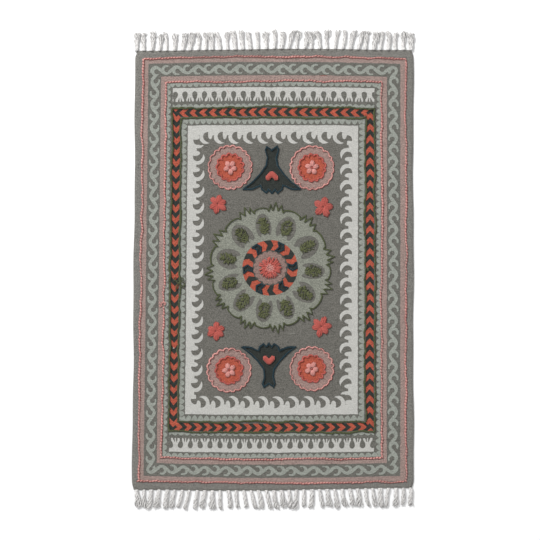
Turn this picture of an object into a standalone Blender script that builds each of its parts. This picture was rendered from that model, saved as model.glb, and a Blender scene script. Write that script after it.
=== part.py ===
"""Embroidered cotton rug, flat woven, with a raised yarn border and knotted warp fringe.

The rug lies flat on the floor. The origin is on the floor under the middle of the
cloth, +Y runs along the rug's length and +Z points up. Metres.

Each piece that a maker would weave, knot or sew on is one closed body: the cloth,
the fringe of each end, and every couched yarn line, satin flower, heart and leaf.
"""

import math
import random

import bmesh
import bpy
from mathutils import Vector

# Driving dimensions, metres
CLOTH_HALF_WIDTH = 0.4556
CLOTH_HALF_LENGTH = 0.7190
CLOTH_THICKNESS = 0.0030
CLOTH_EDGE_ROUNDING = 0.0009
GAP = 0.0003

FRINGE_LOCKS = 37
FRINGE_LENGTH = 0.0600
FRINGE_HEIGHT = 0.0042
LOCK_WIDTH = 0.0150
STRIP_WIDTH = 0.0030
STRIP_HEIGHT = 0.0028
STRIP_GAP = 0.0004

# The pattern's own coordinates: u across and v along, from the pattern's middle
PATTERN_MIDDLE = (-0.0114, -0.0006)
SIDE_STRETCH = 0.0242
LEFT_LEAN = 0.0060
END_BOW = 0.0105
OUTER_FRAME = (0.4316, 0.6879)
SECOND_FRAME = (0.3550, 0.6100)
THIRD_FRAME = (0.3327, 0.5241)
FOURTH_FRAME = (0.3028, 0.4912)

LINE_YARN = (0.0046, 0.0030)
RING_YARN = (0.0056, 0.0034)
OUTLINE_YARN = (0.0062, 0.0036)
MEDALLION_YARN = (0.0040, 0.0030)
CHEVRON_YARN = (0.0052, 0.0034)

ROSETTE_PLACES = ((-0.1359, 0.3306), (0.1320, 0.3297), (-0.1344, -0.3239), (0.1338, -0.3192))
ROSETTE_RING = (0.0700, 0.0019, 20)
ROSETTE_INNER_RING = (0.0434, 0.0020, 13)
ROSETTE_FLOWER_RADIUS = 0.0215

# Each coral flower: place across and along, number of petals, radius
CORAL_FLOWERS = (
    (-0.1762, 0.2132, 6, 0.0285),
    (0.1690, 0.2030, 5, 0.0300),
    (-0.1793, -0.1980, 6, 0.0268),
    (0.1631, -0.1832, 6, 0.0300),
)

MEDALLION_MIDDLE = (0.0, 0.0065)
MEDALLION_EDGE = 0.1900
PETAL_RISE = 0.0068
# Each half of a crown, from its middle: share of its half width, and rise above the edge
CROWN_POINTS = ((0.0, 0.0240), (0.34, -0.0015), (0.64, 0.0165), (0.96, -0.0050))
CROWN_ANGLES = (85, 113, 149, 186, 215, 247, 277, 307, 341, 10, 50)
CROWN_HALF_SHARE = 0.245
LEAF_DISTANCE = 0.1400
LEAF_HALF_SIZE = (0.0280, 0.0205)
RING_INNER = 0.0574
RING_OUTER = 0.0900
RING_ARROWS = 6
RING_TURN = math.radians(6.0)
CENTRE_FLOWER_RADIUS = 0.0360

FIGURE_PLACES = ((0.0040, 0.3235, 1.0), (-0.0020, -0.3085, -0.94))
# Right half of the fork-tailed figure, from the notch of its fork to its middle point
FIGURE_HALF_OUTLINE = (
    (0.0000, 0.0625),
    (0.0165, 0.0750),
    (0.0215, 0.0640),
    (0.0145, 0.0380),
    (0.0185, 0.0120),
    (0.0390, -0.0165),
    (0.0620, -0.0400),
    (0.0930, -0.0640),
    (0.0655, -0.0640),
    (0.0365, -0.0510),
    (0.0320, -0.0650),
    (0.0185, -0.0760),
    (0.0100, -0.0650),
    (0.0000, -0.0765),
)
# Right half of the heart, from its broad point round to its notch
HEART_HALF_OUTLINE = (
    (0.0000, 0.0140),
    (0.0048, 0.0134),
    (0.0100, 0.0092),
    (0.0155, 0.0000),
    (0.0198, -0.0092),
    (0.0172, -0.0136),
    (0.0110, -0.0136),
    (0.0050, -0.0092),
    (0.0000, -0.0056),
)
HEART_DROPS = (0.0205, 0.0176)

# Colours (linear RGB) and surface
CLOTH_COLOUR = (0.180, 0.174, 0.156)
WARP_COLOUR = (0.610, 0.597, 0.565)
PINK_COLOUR = (0.640, 0.300, 0.270)
GREEN_COLOUR = (0.090, 0.130, 0.060)
CORAL_COLOUR = (0.600, 0.110, 0.080)
LIGHT_PINK_COLOUR = (0.700, 0.340, 0.300)
TEAL_COLOUR = (0.010, 0.050, 0.065)
OLIVE_COLOUR = (0.080, 0.110, 0.035)
YARN_ROUGHNESS = 0.85

YARN_BASE = CLOTH_THICKNESS + GAP


def clear_scene():
    for item in list(bpy.data.objects):
        bpy.data.objects.remove(item, do_unlink=True)


def yarn_material(name, colour):
    material = bpy.data.materials.new(name)
    material.use_nodes = True
    surface = material.node_tree.nodes["Principled BSDF"]
    surface.inputs["Base Color"].default_value = (*colour, 1.0)
    surface.inputs["Roughness"].default_value = YARN_ROUGHNESS
    surface.inputs["Metallic"].default_value = 0.0
    return material


def add_object(name, bm, material):
    """Closes the mesh's bookkeeping and links it under its node's name."""
    bmesh.ops.recalc_face_normals(bm, faces=bm.faces)
    mesh = bpy.data.meshes.new(name)
    bm.to_mesh(mesh)
    bm.free()
    mesh.materials.append(material)
    item = bpy.data.objects.new(name, mesh)
    bpy.context.scene.collection.objects.link(item)
    return item


def place(u, v):
    """Carries a point of the drawn pattern to the cloth, with the hand-made lean and bow."""
    across = u / OUTER_FRAME[0]
    x = PATTERN_MIDDLE[0] + u + SIDE_STRETCH * abs(u) + LEFT_LEAN * v * (1.0 - across)
    y = PATTERN_MIDDLE[1] + v * (1.0 + END_BOW * (1.0 - across * across))
    return Vector((x, y))


def slow_wave(distance, phase):
    """Unevenness of a woven edge, metres, from the distance along it."""
    return 0.0013 * math.sin(distance / 0.093 + phase) + 0.0007 * math.sin(distance / 0.036 + 2.1 * phase)


def cloth_side(share, side):
    """Point on the left (-1) or right (1) edge, share running from -1 to 1 along the length."""
    lean = 0.0054 * share if side < 0 else -0.0004 * share
    tuck = 0.0050 * max(0.0, abs(share) - 0.975) / 0.025
    along = share * (CLOTH_HALF_LENGTH - 0.0032)
    x = side * (CLOTH_HALF_WIDTH - tuck) + lean + slow_wave(along, 1.3 * side)
    return Vector((x, along))


def cloth_end_line(x, end):
    """Height in y of the bottom (-1) or top (1) end of the cloth at a place across it."""
    across = x / CLOTH_HALF_WIDTH
    bow = 0.0050 * (1.0 - across * across)
    slope = 0.0020 * across if end > 0 else 0.0040 * across
    return end * (CLOTH_HALF_LENGTH - 0.0050 + bow) + slope + 0.6 * slow_wave(x, 0.7 * end)


def cloth_outline():
    steps_across = 50
    steps_along = 58
    points = []
    for i in range(steps_across):
        share = -1.0 + 2.0 * i / steps_across
        x = share * (CLOTH_HALF_WIDTH - 0.0050)
        points.append(Vector((x, cloth_end_line(x, -1))))
    for i in range(steps_along):
        points.append(cloth_side(-1.0 + 2.0 * (i + 0.5) / steps_along, 1))
    for i in range(steps_across):
        share = 1.0 - 2.0 * i / steps_across
        x = share * (CLOTH_HALF_WIDTH - 0.0050)
        points.append(Vector((x, cloth_end_line(x, 1))))
    for i in range(steps_along):
        points.append(cloth_side(1.0 - 2.0 * (i + 0.5) / steps_along, -1))
    return points


def bridge_rings(bm, lower, upper):
    count = len(lower)
    for i in range(count):
        following = (i + 1) % count
        bm.faces.new((lower[i], lower[following], upper[following], upper[i]))


def make_cloth(material):
    outline = cloth_outline()
    bm = bmesh.new()
    rounding = CLOTH_EDGE_ROUNDING
    shrink = 1.0 - rounding / CLOTH_HALF_WIDTH
    bottom = [bm.verts.new((p.x, p.y, 0.0)) for p in outline]
    rim = [bm.verts.new((p.x, p.y, CLOTH_THICKNESS - rounding)) for p in outline]
    top = [bm.verts.new((p.x * shrink, p.y * shrink, CLOTH_THICKNESS)) for p in outline]
    bm.faces.new(list(reversed(bottom)))
    bridge_rings(bm, bottom, rim)
    bridge_rings(bm, rim, top)
    bm.faces.new(top)
    bmesh.ops.triangulate(bm, faces=[f for f in bm.faces if len(f.verts) > 4])
    return add_object("cotton_cloth", bm, material)


def fringe_plan(seed):
    """For each lock: place of its root, sideways run of its tip, bend, width and length."""
    chance = random.Random(seed)
    spread = CLOTH_HALF_WIDTH - 0.0085
    pitch = 2.0 * spread / (FRINGE_LOCKS - 1)
    locks = []
    drift = 0.0
    free_from = -1.0
    for i in range(FRINGE_LOCKS):
        root = -spread + i * pitch + chance.uniform(-0.0015, 0.0015) * (0 < i < FRINGE_LOCKS - 1)
        drift = 0.6 * drift + chance.uniform(-0.0090, 0.0090)
        width = LOCK_WIDTH * chance.uniform(0.76, 1.18)
        splay = chance.uniform(0.0012, 0.0032)
        reach = 0.42 * width + splay
        tip = max(root + drift, free_from + reach)
        free_from = tip + reach + 0.0010
        locks.append(
            {
                "root": root,
                "run": tip - root,
                "bend": chance.uniform(-0.0025, 0.0025),
                "width": width,
                "length": FRINGE_LENGTH * chance.uniform(0.93, 1.07),
                "splay": splay,
            }
        )
    return locks


def lock_ring(bm, x, y, width, height):
    """Six corners of a lock's section, flat on the floor: left, middle, right below, then above."""
    half = 0.5 * width
    low = [bm.verts.new((x + half * s, y, 0.0)) for s in (-1, 0, 1)]
    high = [bm.verts.new((x + 0.6 * half * s, y, height)) for s in (-1, 0, 1)]
    return low, high


def bridge_lock(bm, before, after):
    low_a, high_a = before
    low_b, high_b = after
    ring_a = low_a + high_a[::-1]
    ring_b = low_b + high_b[::-1]
    bridge_rings(bm, ring_a, ring_b)


def prong(bm, low_pair, high_pair, tip_x, tip_y, width, height):
    """One of the two tips that a lock opens into."""
    half = 0.5 * width
    ends = [
        bm.verts.new((tip_x - half, tip_y, 0.0)),
        bm.verts.new((tip_x + half, tip_y, 0.0)),
        bm.verts.new((tip_x + 0.6 * half, tip_y, height)),
        bm.verts.new((tip_x - 0.6 * half, tip_y, height)),
    ]
    start = [low_pair[0], low_pair[1], high_pair[1], high_pair[0]]
    bridge_rings(bm, start, ends)
    bm.faces.new(ends)


def make_fringe(name, end, seed, material):
    """Knotted warp ends of one short side: locks that grow out of a narrow strip."""
    bm = bmesh.new()
    columns = []
    for lock in fringe_plan(seed):
        half = 0.5 * lock["width"]
        column_group = []
        for share in (-1, 0, 1):
            x_low = lock["root"] + half * share
            x_high = lock["root"] + 0.6 * half * share
            inner = cloth_end_line(x_low, end) + end * STRIP_GAP
            outer = inner + end * STRIP_WIDTH
            column_group.append(
                (
                    bm.verts.new((x_low, inner, 0.0)),
                    bm.verts.new((x_low, outer, 0.0)),
                    bm.verts.new((x_high, outer, STRIP_HEIGHT)),
                    bm.verts.new((x_low, inner, STRIP_HEIGHT)),
                )
            )
        columns.extend(column_group)
        low = [column[1] for column in column_group]
        high = [column[2] for column in column_group]
        ring = (low, high)
        start_y = cloth_end_line(lock["root"], end) + end * (STRIP_GAP + STRIP_WIDTH)
        for share, fullness in ((0.30, 1.0), (0.66, 0.92)):
            x = lock["root"] + lock["run"] * share + lock["bend"] * math.sin(math.pi * share)
            y = start_y + end * lock["length"] * share
            new_ring = lock_ring(bm, x, y, lock["width"] * fullness, FRINGE_HEIGHT * fullness)
            bridge_lock(bm, ring, new_ring)
            ring = new_ring
        low, high = ring
        tip_x = lock["root"] + lock["run"]
        tip_y = start_y + end * lock["length"]
        tip_width = 0.42 * lock["width"]
        offset = 0.5 * tip_width + lock["splay"]
        prong(bm, low[:2], high[:2], tip_x - offset, tip_y - end * 0.003, tip_width, 0.0026)
        prong(bm, low[1:], high[1:], tip_x + offset, tip_y, tip_width, 0.0026)
    for i in range(len(columns) - 1):
        a = columns[i]
        b = columns[i + 1]
        bm.faces.new((a[0], b[0], b[1], a[1]))
        bm.faces.new((a[2], b[2], b[3], a[3]))
        bm.faces.new((a[3], b[3], b[0], a[0]))
        if i % 3 == 2:
            bm.faces.new((a[1], b[1], b[2], a[2]))
    bm.faces.new(columns[0])
    bm.faces.new(columns[-1][::-1])
    return add_object(name, bm, material)


def mitre(points, i):
    """Sideways direction at a point of a closed path, longer at a corner, within reason."""
    before = points[i - 1]
    here = points[i]
    after = points[(i + 1) % len(points)]
    first = (here - before).normalized()
    second = (after - here).normalized()
    normal_a = Vector((-first.y, first.x))
    normal_b = Vector((-second.y, second.x))
    middle = (normal_a + normal_b).normalized()
    return middle * min(1.0 / max(middle.dot(normal_a), 0.2), 2.0)


def make_yarn_loop(name, path, yarn, material):
    """A yarn couched down along a closed path: flat below, one ridge above."""
    width, height = yarn
    bm = bmesh.new()
    left = []
    right = []
    ridge = []
    for i, point in enumerate(path):
        side = mitre(path, i) * 0.5 * width
        left.append(bm.verts.new((*(point + side), YARN_BASE)))
        right.append(bm.verts.new((*(point - side), YARN_BASE)))
        ridge.append(bm.verts.new((*point, YARN_BASE + height)))
    bridge_rings(bm, right, ridge)
    bridge_rings(bm, ridge, left)
    bridge_rings(bm, left, right)
    return add_object(name, bm, material)


def make_satin_patch(name, outline, middle, height, material):
    """A patch of satin stitch: a low mound with a steep rim."""
    bm = bmesh.new()
    base = [bm.verts.new((*p, YARN_BASE)) for p in outline]
    rim = [bm.verts.new((*p, YARN_BASE + 0.5 * height)) for p in outline]
    crown = [bm.verts.new((*(middle + (p - middle) * 0.72), YARN_BASE + height)) for p in outline]
    bm.faces.new(base[::-1])
    bridge_rings(bm, base, rim)
    bridge_rings(bm, rim, crown)
    bm.faces.new(crown)
    bmesh.ops.triangulate(bm, faces=[f for f in bm.faces if len(f.verts) > 4])
    return add_object(name, bm, material)


def frame_path(half_size):
    """Rectangular line of the border, with a point every 6 cm or so."""
    half_width, half_length = half_size
    corners = [(-1, -1), (1, -1), (1, 1), (-1, 1)]
    path = []
    for i, corner in enumerate(corners):
        following = corners[(i + 1) % 4]
        length = 2.0 * (half_width if corner[1] == following[1] else half_length)
        steps = round(length / 0.060)
        for step in range(steps):
            share = step / steps
            u = half_width * (corner[0] + (following[0] - corner[0]) * share)
            v = half_length * (corner[1] + (following[1] - corner[1]) * share)
            path.append(place(u, v))
    return path


def scalloped_ring(middle, radius, swell, lobes, steps_per_lobe):
    path = []
    count = lobes * steps_per_lobe
    for i in range(count):
        turn = 2.0 * math.pi * i / count
        reach = radius + swell * math.cos(lobes * turn)
        path.append(middle + reach * Vector((math.cos(turn), math.sin(turn))))
    return path


def petal_outline(middle, radius, petals, turn, inner_share):
    """Rounded petals: four points each, out along the petal and back to the notch."""
    outline = []
    for i in range(petals):
        heading = turn + 2.0 * math.pi * i / petals
        half_step = math.pi / petals
        for angle, reach in ((-0.62, 0.84), (-0.22, 1.0), (0.22, 1.0), (0.62, 0.84), (1.0, inner_share)):
            way = heading + angle * half_step
            outline.append(middle + radius * reach * Vector((math.cos(way), math.sin(way))))
    return outline


def crown_turn(index, share):
    """Angle of a place between crowns, share 0 at the crown of this index and 1 at the next."""
    count = len(CROWN_ANGLES)
    start = CROWN_ANGLES[index % count]
    gap = (CROWN_ANGLES[(index + 1) % count] - start) % 360
    return math.radians(start + gap * share)


def medallion_path():
    """Edge of the medallion: a crown of points, then an arc round the next petal."""
    middle = place(*MEDALLION_MIDDLE)
    arc_share = 1.0 - 2.0 * CROWN_HALF_SHARE
    path = []
    for index in range(len(CROWN_ANGLES)):
        stations = []
        for share in (0.12, 0.30, 0.50, 0.70, 0.88):
            rise = PETAL_RISE * math.sin(math.pi * share) ** 0.6
            stations.append((CROWN_HALF_SHARE + arc_share * share, rise))
        for share, rise in CROWN_POINTS:
            stations.append((share * CROWN_HALF_SHARE, rise))
            if share > 0.0:
                stations.append((1.0 - share * CROWN_HALF_SHARE, rise))
        for share, rise in sorted(stations):
            turn = crown_turn(index, share)
            path.append(middle + (MEDALLION_EDGE + rise) * Vector((math.cos(turn), math.sin(turn))))
    return path


def leaf_outline(middle, heading):
    """Pointed leaf of satin stitch, its length along the heading."""
    half_length, half_width = LEAF_HALF_SIZE
    along = Vector((math.cos(heading), math.sin(heading)))
    across = Vector((-along.y, along.x))
    outline = []
    steps = 12
    for i in range(steps):
        turn = 2.0 * math.pi * i / steps
        width = half_width * math.sin(turn) * (1.0 - 0.25 * math.cos(turn))
        outline.append(middle + along * half_length * math.cos(turn) + across * width)
    return outline


def arrow_path(middle, heading, inset):
    """Outline of one arrow of the medallion's ring, pointing clockwise."""
    half_step = math.pi / (2 * RING_ARROWS)
    inner = RING_INNER + inset
    outer = RING_OUTER - inset
    centre_radius = 0.5 * (inner + outer)
    back = heading + 0.42 * half_step
    front = heading - 0.42 * half_step
    lead = 0.42 * half_step
    stations = (
        (inner, back),
        (inner, front),
        (centre_radius, front - lead),
        (outer, front),
        (outer, back),
        (centre_radius, back - lead),
    )
    return [middle + r * Vector((math.cos(a), math.sin(a))) for r, a in stations]


def mirrored_outline(half_outline, middle, scale):
    """Both halves of an upright shape. A negative scale turns it upside down."""
    half = [Vector(p) for p in half_outline]
    other = [Vector((-p.x, p.y)) for p in half[-2:0:-1]]
    return [middle + Vector((p.x * abs(scale), p.y * scale)) for p in half + other]


def make_borders(pink, green):
    make_yarn_loop("pink_line_outer", frame_path(OUTER_FRAME), LINE_YARN, pink)
    make_yarn_loop("pink_line_inner", frame_path(SECOND_FRAME), LINE_YARN, pink)
    make_yarn_loop("green_line_outer", frame_path(THIRD_FRAME), LINE_YARN, green)
    make_yarn_loop("green_line_inner", frame_path(FOURTH_FRAME), LINE_YARN, green)


def make_rosettes(pink, coral, light_pink):
    for number, (u, v) in enumerate(ROSETTE_PLACES, start=1):
        middle = place(u, v)
        radius, swell, lobes = ROSETTE_RING
        ring = scalloped_ring(middle, radius, swell, lobes, 3)
        make_yarn_loop(f"rosette_{number}_outer_ring", ring, RING_YARN, pink)
        radius, swell, lobes = ROSETTE_INNER_RING
        ring = scalloped_ring(middle, radius, swell, lobes, 3)
        make_yarn_loop(f"rosette_{number}_inner_ring", ring, RING_YARN, coral)
        petals = petal_outline(middle, ROSETTE_FLOWER_RADIUS, 5, 0.5 * number, 0.62)
        make_satin_patch(f"rosette_{number}_flower", petals, middle, 0.0035, light_pink)


def make_coral_flowers(coral):
    for number, (u, v, petals, radius) in enumerate(CORAL_FLOWERS, start=1):
        middle = place(u, v)
        outline = petal_outline(middle, radius, petals, 0.4 * number, 0.66)
        make_satin_patch(f"coral_flower_{number}", outline, middle, 0.0038, coral)


def make_medallion(olive, teal, coral):
    middle = place(*MEDALLION_MIDDLE)
    make_yarn_loop("medallion_edge", medallion_path(), MEDALLION_YARN, olive)
    for i in range(len(CROWN_ANGLES)):
        heading = crown_turn(i, 0.5)
        spot = middle + LEAF_DISTANCE * Vector((math.cos(heading), math.sin(heading)))
        make_satin_patch(f"leaf_{i + 1:02d}", leaf_outline(spot, heading), spot, 0.0032, olive)
    for i in range(RING_ARROWS):
        heading = RING_TURN + 2.0 * math.pi * i / RING_ARROWS
        arrow = arrow_path(middle, heading, 0.5 * CHEVRON_YARN[0])
        make_yarn_loop(f"ring_arrow_{i + 1}", arrow, CHEVRON_YARN, teal)
    flower = petal_outline(middle, CENTRE_FLOWER_RADIUS, 10, 0.2, 0.86)
    make_satin_patch("centre_flower", flower, middle, 0.0042, coral)


def make_figures(teal, coral):
    for name, (u, v, scale), drop in zip(("top", "bottom"), FIGURE_PLACES, HEART_DROPS, strict=True):
        middle = place(u, v)
        edge = mirrored_outline(FIGURE_HALF_OUTLINE, middle, scale)
        make_yarn_loop(f"figure_edge_{name}", edge, OUTLINE_YARN, teal)
        up = math.copysign(1.0, scale)
        spot = middle - Vector((0.0, drop * up))
        heart = mirrored_outline(HEART_HALF_OUTLINE, spot, scale)
        make_satin_patch(f"heart_{name}", heart, spot, 0.0034, coral)


def main():
    clear_scene()
    cloth = yarn_material("ground_cotton", CLOTH_COLOUR)
    warp = yarn_material("warp_cotton", WARP_COLOUR)
    pink = yarn_material("pink_yarn", PINK_COLOUR)
    green = yarn_material("green_yarn", GREEN_COLOUR)
    coral = yarn_material("coral_yarn", CORAL_COLOUR)
    light_pink = yarn_material("light_pink_yarn", LIGHT_PINK_COLOUR)
    teal = yarn_material("teal_yarn", TEAL_COLOUR)
    olive = yarn_material("olive_yarn", OLIVE_COLOUR)
    make_cloth(cloth)
    make_fringe("fringe_top", 1, 11, warp)
    make_fringe("fringe_bottom", -1, 23, warp)
    make_borders(pink, green)
    make_rosettes(pink, coral, light_pink)
    make_coral_flowers(coral)
    make_medallion(olive, teal, coral)
    make_figures(teal, coral)


main()
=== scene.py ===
# %% [markdown]
# # An embroidered cotton rug
# The rug is a flat-woven grey cotton cloth with a printed pattern, raised yarn embroidery and
# loose warp ends at both short sides. It lies on the floor and is seen from straight above.
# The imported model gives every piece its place, so the frame is loaded first.

# %% Load the frame
import math
import random

import bmesh
import bpy
import numpy as np
from mathutils import Matrix, Vector


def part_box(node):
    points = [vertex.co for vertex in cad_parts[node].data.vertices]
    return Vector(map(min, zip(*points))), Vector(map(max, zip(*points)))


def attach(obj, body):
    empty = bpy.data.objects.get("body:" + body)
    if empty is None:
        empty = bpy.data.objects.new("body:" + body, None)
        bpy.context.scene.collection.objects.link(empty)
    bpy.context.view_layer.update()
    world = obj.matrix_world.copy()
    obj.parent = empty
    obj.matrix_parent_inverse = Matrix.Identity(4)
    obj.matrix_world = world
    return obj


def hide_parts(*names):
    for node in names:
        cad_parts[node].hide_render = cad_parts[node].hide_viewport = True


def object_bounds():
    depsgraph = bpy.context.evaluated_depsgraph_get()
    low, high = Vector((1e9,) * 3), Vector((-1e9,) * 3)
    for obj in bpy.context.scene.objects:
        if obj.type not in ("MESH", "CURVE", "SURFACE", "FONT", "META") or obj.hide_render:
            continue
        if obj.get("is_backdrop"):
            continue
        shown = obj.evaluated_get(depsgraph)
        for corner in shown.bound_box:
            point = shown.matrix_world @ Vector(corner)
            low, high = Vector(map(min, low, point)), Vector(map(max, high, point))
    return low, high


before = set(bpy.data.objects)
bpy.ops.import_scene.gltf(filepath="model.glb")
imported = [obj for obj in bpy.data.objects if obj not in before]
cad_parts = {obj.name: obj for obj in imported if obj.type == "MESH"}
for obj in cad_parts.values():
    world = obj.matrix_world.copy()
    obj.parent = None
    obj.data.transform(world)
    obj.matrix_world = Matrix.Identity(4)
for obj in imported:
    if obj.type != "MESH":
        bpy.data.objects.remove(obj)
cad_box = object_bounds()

cloth_low, cloth_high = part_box("cotton_cloth")
cloth_top_height = cloth_high[2]
print("cloth box:", [round(a, 4) for a in (*cloth_low, *cloth_high)])

# %% [markdown]
# ## Sizes
# The drawn pattern has its own coordinates: u across and v along, from its middle. Hand
# printing and sewing set it slightly askew on the cloth, and one function carries a point
# from the pattern to the cloth. Print and yarn both use it, so they stay together.

# %% Sizes, metres
cloth_half_width = 0.4556
cloth_half_length = 0.7190
outer_frame = (0.4316, 0.6879)
second_frame = (0.3550, 0.6100)
third_frame = (0.3327, 0.5241)
fourth_frame = (0.3028, 0.4912)
white_frame = (0.2794, 0.4671)
pattern_middle = (-0.0114, -0.0006)
side_stretch = 0.0242
left_lean = 0.0060
end_bow = 0.0105
rosette_places = ((-0.1359, 0.3306), (0.1320, 0.3297), (-0.1344, -0.3239), (0.1338, -0.3192))
coral_flowers = (
    (-0.1762, 0.2132, 6, 0.0285),
    (0.1690, 0.2030, 5, 0.0300),
    (-0.1793, -0.1980, 6, 0.0268),
    (0.1631, -0.1832, 6, 0.0300),
)
medallion_place = (0.0, 0.0065)
medallion_edge = 0.1900
crown_angles = (85, 113, 149, 186, 215, 247, 277, 307, 341, 10, 50)
crown_half_share = 0.245
petal_rise = 0.0068
crown_points = ((0.0, 0.0240), (0.34, -0.0015), (0.64, 0.0165), (0.96, -0.0050))
leaf_distance = 0.1400
ring_inner = 0.0574
ring_outer = 0.0900
ring_arrows = 6
ring_turn = math.radians(6.0)
figure_places = ((0.0040, 0.3235, 1.0), (-0.0020, -0.3085, -0.94))
heart_half_size = (0.0198, 0.0140)
heart_drops = (0.0205, 0.0176)


def place(u, v):
    """Carries a point of the drawn pattern to the cloth."""
    across = u / outer_frame[0]
    x = pattern_middle[0] + u + side_stretch * abs(u) + left_lean * v * (1.0 - across)
    y = pattern_middle[1] + v * (1.0 + end_bow * (1.0 - across * across))
    return Vector((x, y))


def pattern_at(x, y):
    """The other way round: from the cloth to the pattern, by a few rounds of correction."""
    u = x - pattern_middle[0]
    v = y - pattern_middle[1]
    for _ in range(4):
        back = place(u, v)
        u += x - back.x
        v += y - back.y
    return u, v


def towards(angle):
    """A step of length 1 in the direction of an angle."""
    return Vector((math.cos(angle), math.sin(angle)))


def quarter_turn(way):
    """The same step turned a quarter to the left."""
    return Vector((-way.y, way.x))


middle_check = pattern_at(*place(-0.30, 0.55))
print("round trip of the pattern:", [round(a, 5) for a in middle_check])

# %% [markdown]
# ## Camera, floor and light
# The photograph looks straight down and shows 1.76 m of floor across 540 pixels. A long lens
# from high up keeps the sides upright. A large soft light at the upper left gives the yarn
# its small shadow on the lower right.

# %% Camera, floor and light
photo_width = 1.7604
photo_middle = (-0.0117, -0.0010)
camera_height = 7.0
camera_data = bpy.data.cameras.new("camera")
camera_data.sensor_width = 36.0
camera_data.lens = 36.0 * camera_height / photo_width
camera = bpy.data.objects.new("camera", camera_data)
camera.location = (photo_middle[0], photo_middle[1], camera_height)
bpy.context.scene.collection.objects.link(camera)
bpy.context.scene.camera = camera
bpy.context.scene.view_settings.view_transform = "Standard"


def paint(red, green, blue):
    """Turns a colour seen on screen, 0 to 255, into the linear colour that Blender works in."""
    return tuple(((c / 255 + 0.055) / 1.055) ** 2.4 if c > 10 else c / 3294.6 for c in (red, green, blue))


def soft_lamp(name, spot, size, power):
    lamp_data = bpy.data.lights.new(name, "AREA")
    lamp_data.shape = "SQUARE"
    lamp_data.size = size
    lamp_data.energy = power
    lamp = bpy.data.objects.new(name, lamp_data)
    lamp.location = spot
    lamp.rotation_euler = (-Vector(spot)).to_track_quat("-Z", "Y").to_euler()
    bpy.context.scene.collection.objects.link(lamp)
    return lamp


soft_lamp("window_light", (-5.2, 5.8, 5.0), 2.2, 960.0)
soft_lamp("fill_light", (2.5, -1.5, 3.5), 3.0, 30.0)
world = bpy.data.worlds.new("studio")
world.use_nodes = True
world.node_tree.nodes["Background"].inputs["Color"].default_value = (1.0, 1.0, 1.0, 1.0)
world.node_tree.nodes["Background"].inputs["Strength"].default_value = 0.50
bpy.context.scene.world = world

floor_bm = bmesh.new()
bmesh.ops.create_grid(floor_bm, x_segments=1, y_segments=1, size=6.0)
floor_mesh = bpy.data.meshes.new("floor")
floor_bm.to_mesh(floor_mesh)
floor_bm.free()
floor = bpy.data.objects.new("floor", floor_mesh)
floor.location = (0.0, 0.0, -0.0004)
bpy.context.scene.collection.objects.link(floor)
floor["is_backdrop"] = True
floor_paint = bpy.data.materials.new("floor_paint")
floor_paint.use_nodes = True
floor_paint.node_tree.nodes["Principled BSDF"].inputs["Base Color"].default_value = (0.95, 0.95, 0.95, 1.0)
floor_paint.node_tree.nodes["Principled BSDF"].inputs["Roughness"].default_value = 0.9
floor_mesh.materials.append(floor_paint)
print("camera sees", photo_width, "m across")

# %% [markdown]
# ## Writing formulas as nodes
# A printed border is a formula: how far a point lies from an edge, and where in the repeat it
# falls. One Math node holds one step of it. To write a formula as a formula, a `Wire` stands
# for a node's output, and adding or multiplying two of them adds the Math node.


# %% Formulas as nodes
class Wire:
    """One value in a node tree."""

    def __init__(self, tree, socket):
        self.tree = tree
        self.socket = socket

    def __add__(self, other):
        return calc("ADD", self, other)

    def __radd__(self, other):
        return calc("ADD", self, other)

    def __sub__(self, other):
        return calc("SUBTRACT", self, other)

    def __rsub__(self, other):
        return calc("SUBTRACT", other, self)

    def __mul__(self, other):
        return calc("MULTIPLY", self, other)

    def __rmul__(self, other):
        return calc("MULTIPLY", self, other)

    def __truediv__(self, other):
        return calc("DIVIDE", self, other)

    def __neg__(self):
        return calc("MULTIPLY", self, -1.0)

    def __abs__(self):
        return calc("ABSOLUTE", self)


def feed(tree, socket, term):
    """Gives an input a number, a colour or another node's output."""
    if isinstance(term, Wire):
        tree.links.new(term.socket, socket)
    else:
        socket.default_value = term


def calc(operation, *terms, clamp=False):
    tree = next(term.tree for term in terms if isinstance(term, Wire))
    node = tree.nodes.new("ShaderNodeMath")
    node.operation = operation
    node.use_clamp = clamp
    for socket, term in zip(node.inputs, terms):
        feed(tree, socket, term)
    return Wire(tree, node.outputs[0])


def highest(first, *others):
    for other in others:
        first = calc("MAXIMUM", first, other)
    return first


def lowest(first, *others):
    for other in others:
        first = calc("MINIMUM", first, other)
    return first


def length_of(x, y):
    return calc("SQRT", calc("MULTIPLY_ADD", x, x, y * y))


def inside(distance, softness=6.0):
    """1 well inside a shape, 0 well outside it and a half on its edge, from millimetres to the edge."""
    return calc("MULTIPLY_ADD", distance, -1.0 / softness, 0.5, clamp=True)


def without(shape, hole):
    return lowest(shape, 1.0 - hole)


def blend_number(low, high, share):
    return calc("MULTIPLY_ADD", share, high - low, low)


def blend_colour(tree, under, over, share, how="MIX"):
    node = tree.nodes.new("ShaderNodeMix")
    node.data_type = "RGBA"
    node.blend_type = how
    feed(tree, node.inputs["Factor"], share)
    feed(tree, node.inputs["A"], under)
    feed(tree, node.inputs["B"], over)
    return Wire(tree, node.outputs["Result"])


def drawn_curve(value, points):
    """Reads a height off a line drawn through a few points, both from 0 to 1."""
    node = value.tree.nodes.new("ShaderNodeFloatCurve")
    curve = node.mapping.curves[0]
    while len(curve.points) < len(points):
        curve.points.new(0.5, 0.5)
    for point, (x, y) in zip(curve.points, points):
        point.location = (x, y)
        point.handle_type = "VECTOR"
    node.mapping.update()
    value.tree.links.new(value.socket, node.inputs["Value"])
    return Wire(value.tree, node.outputs["Value"])


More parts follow.
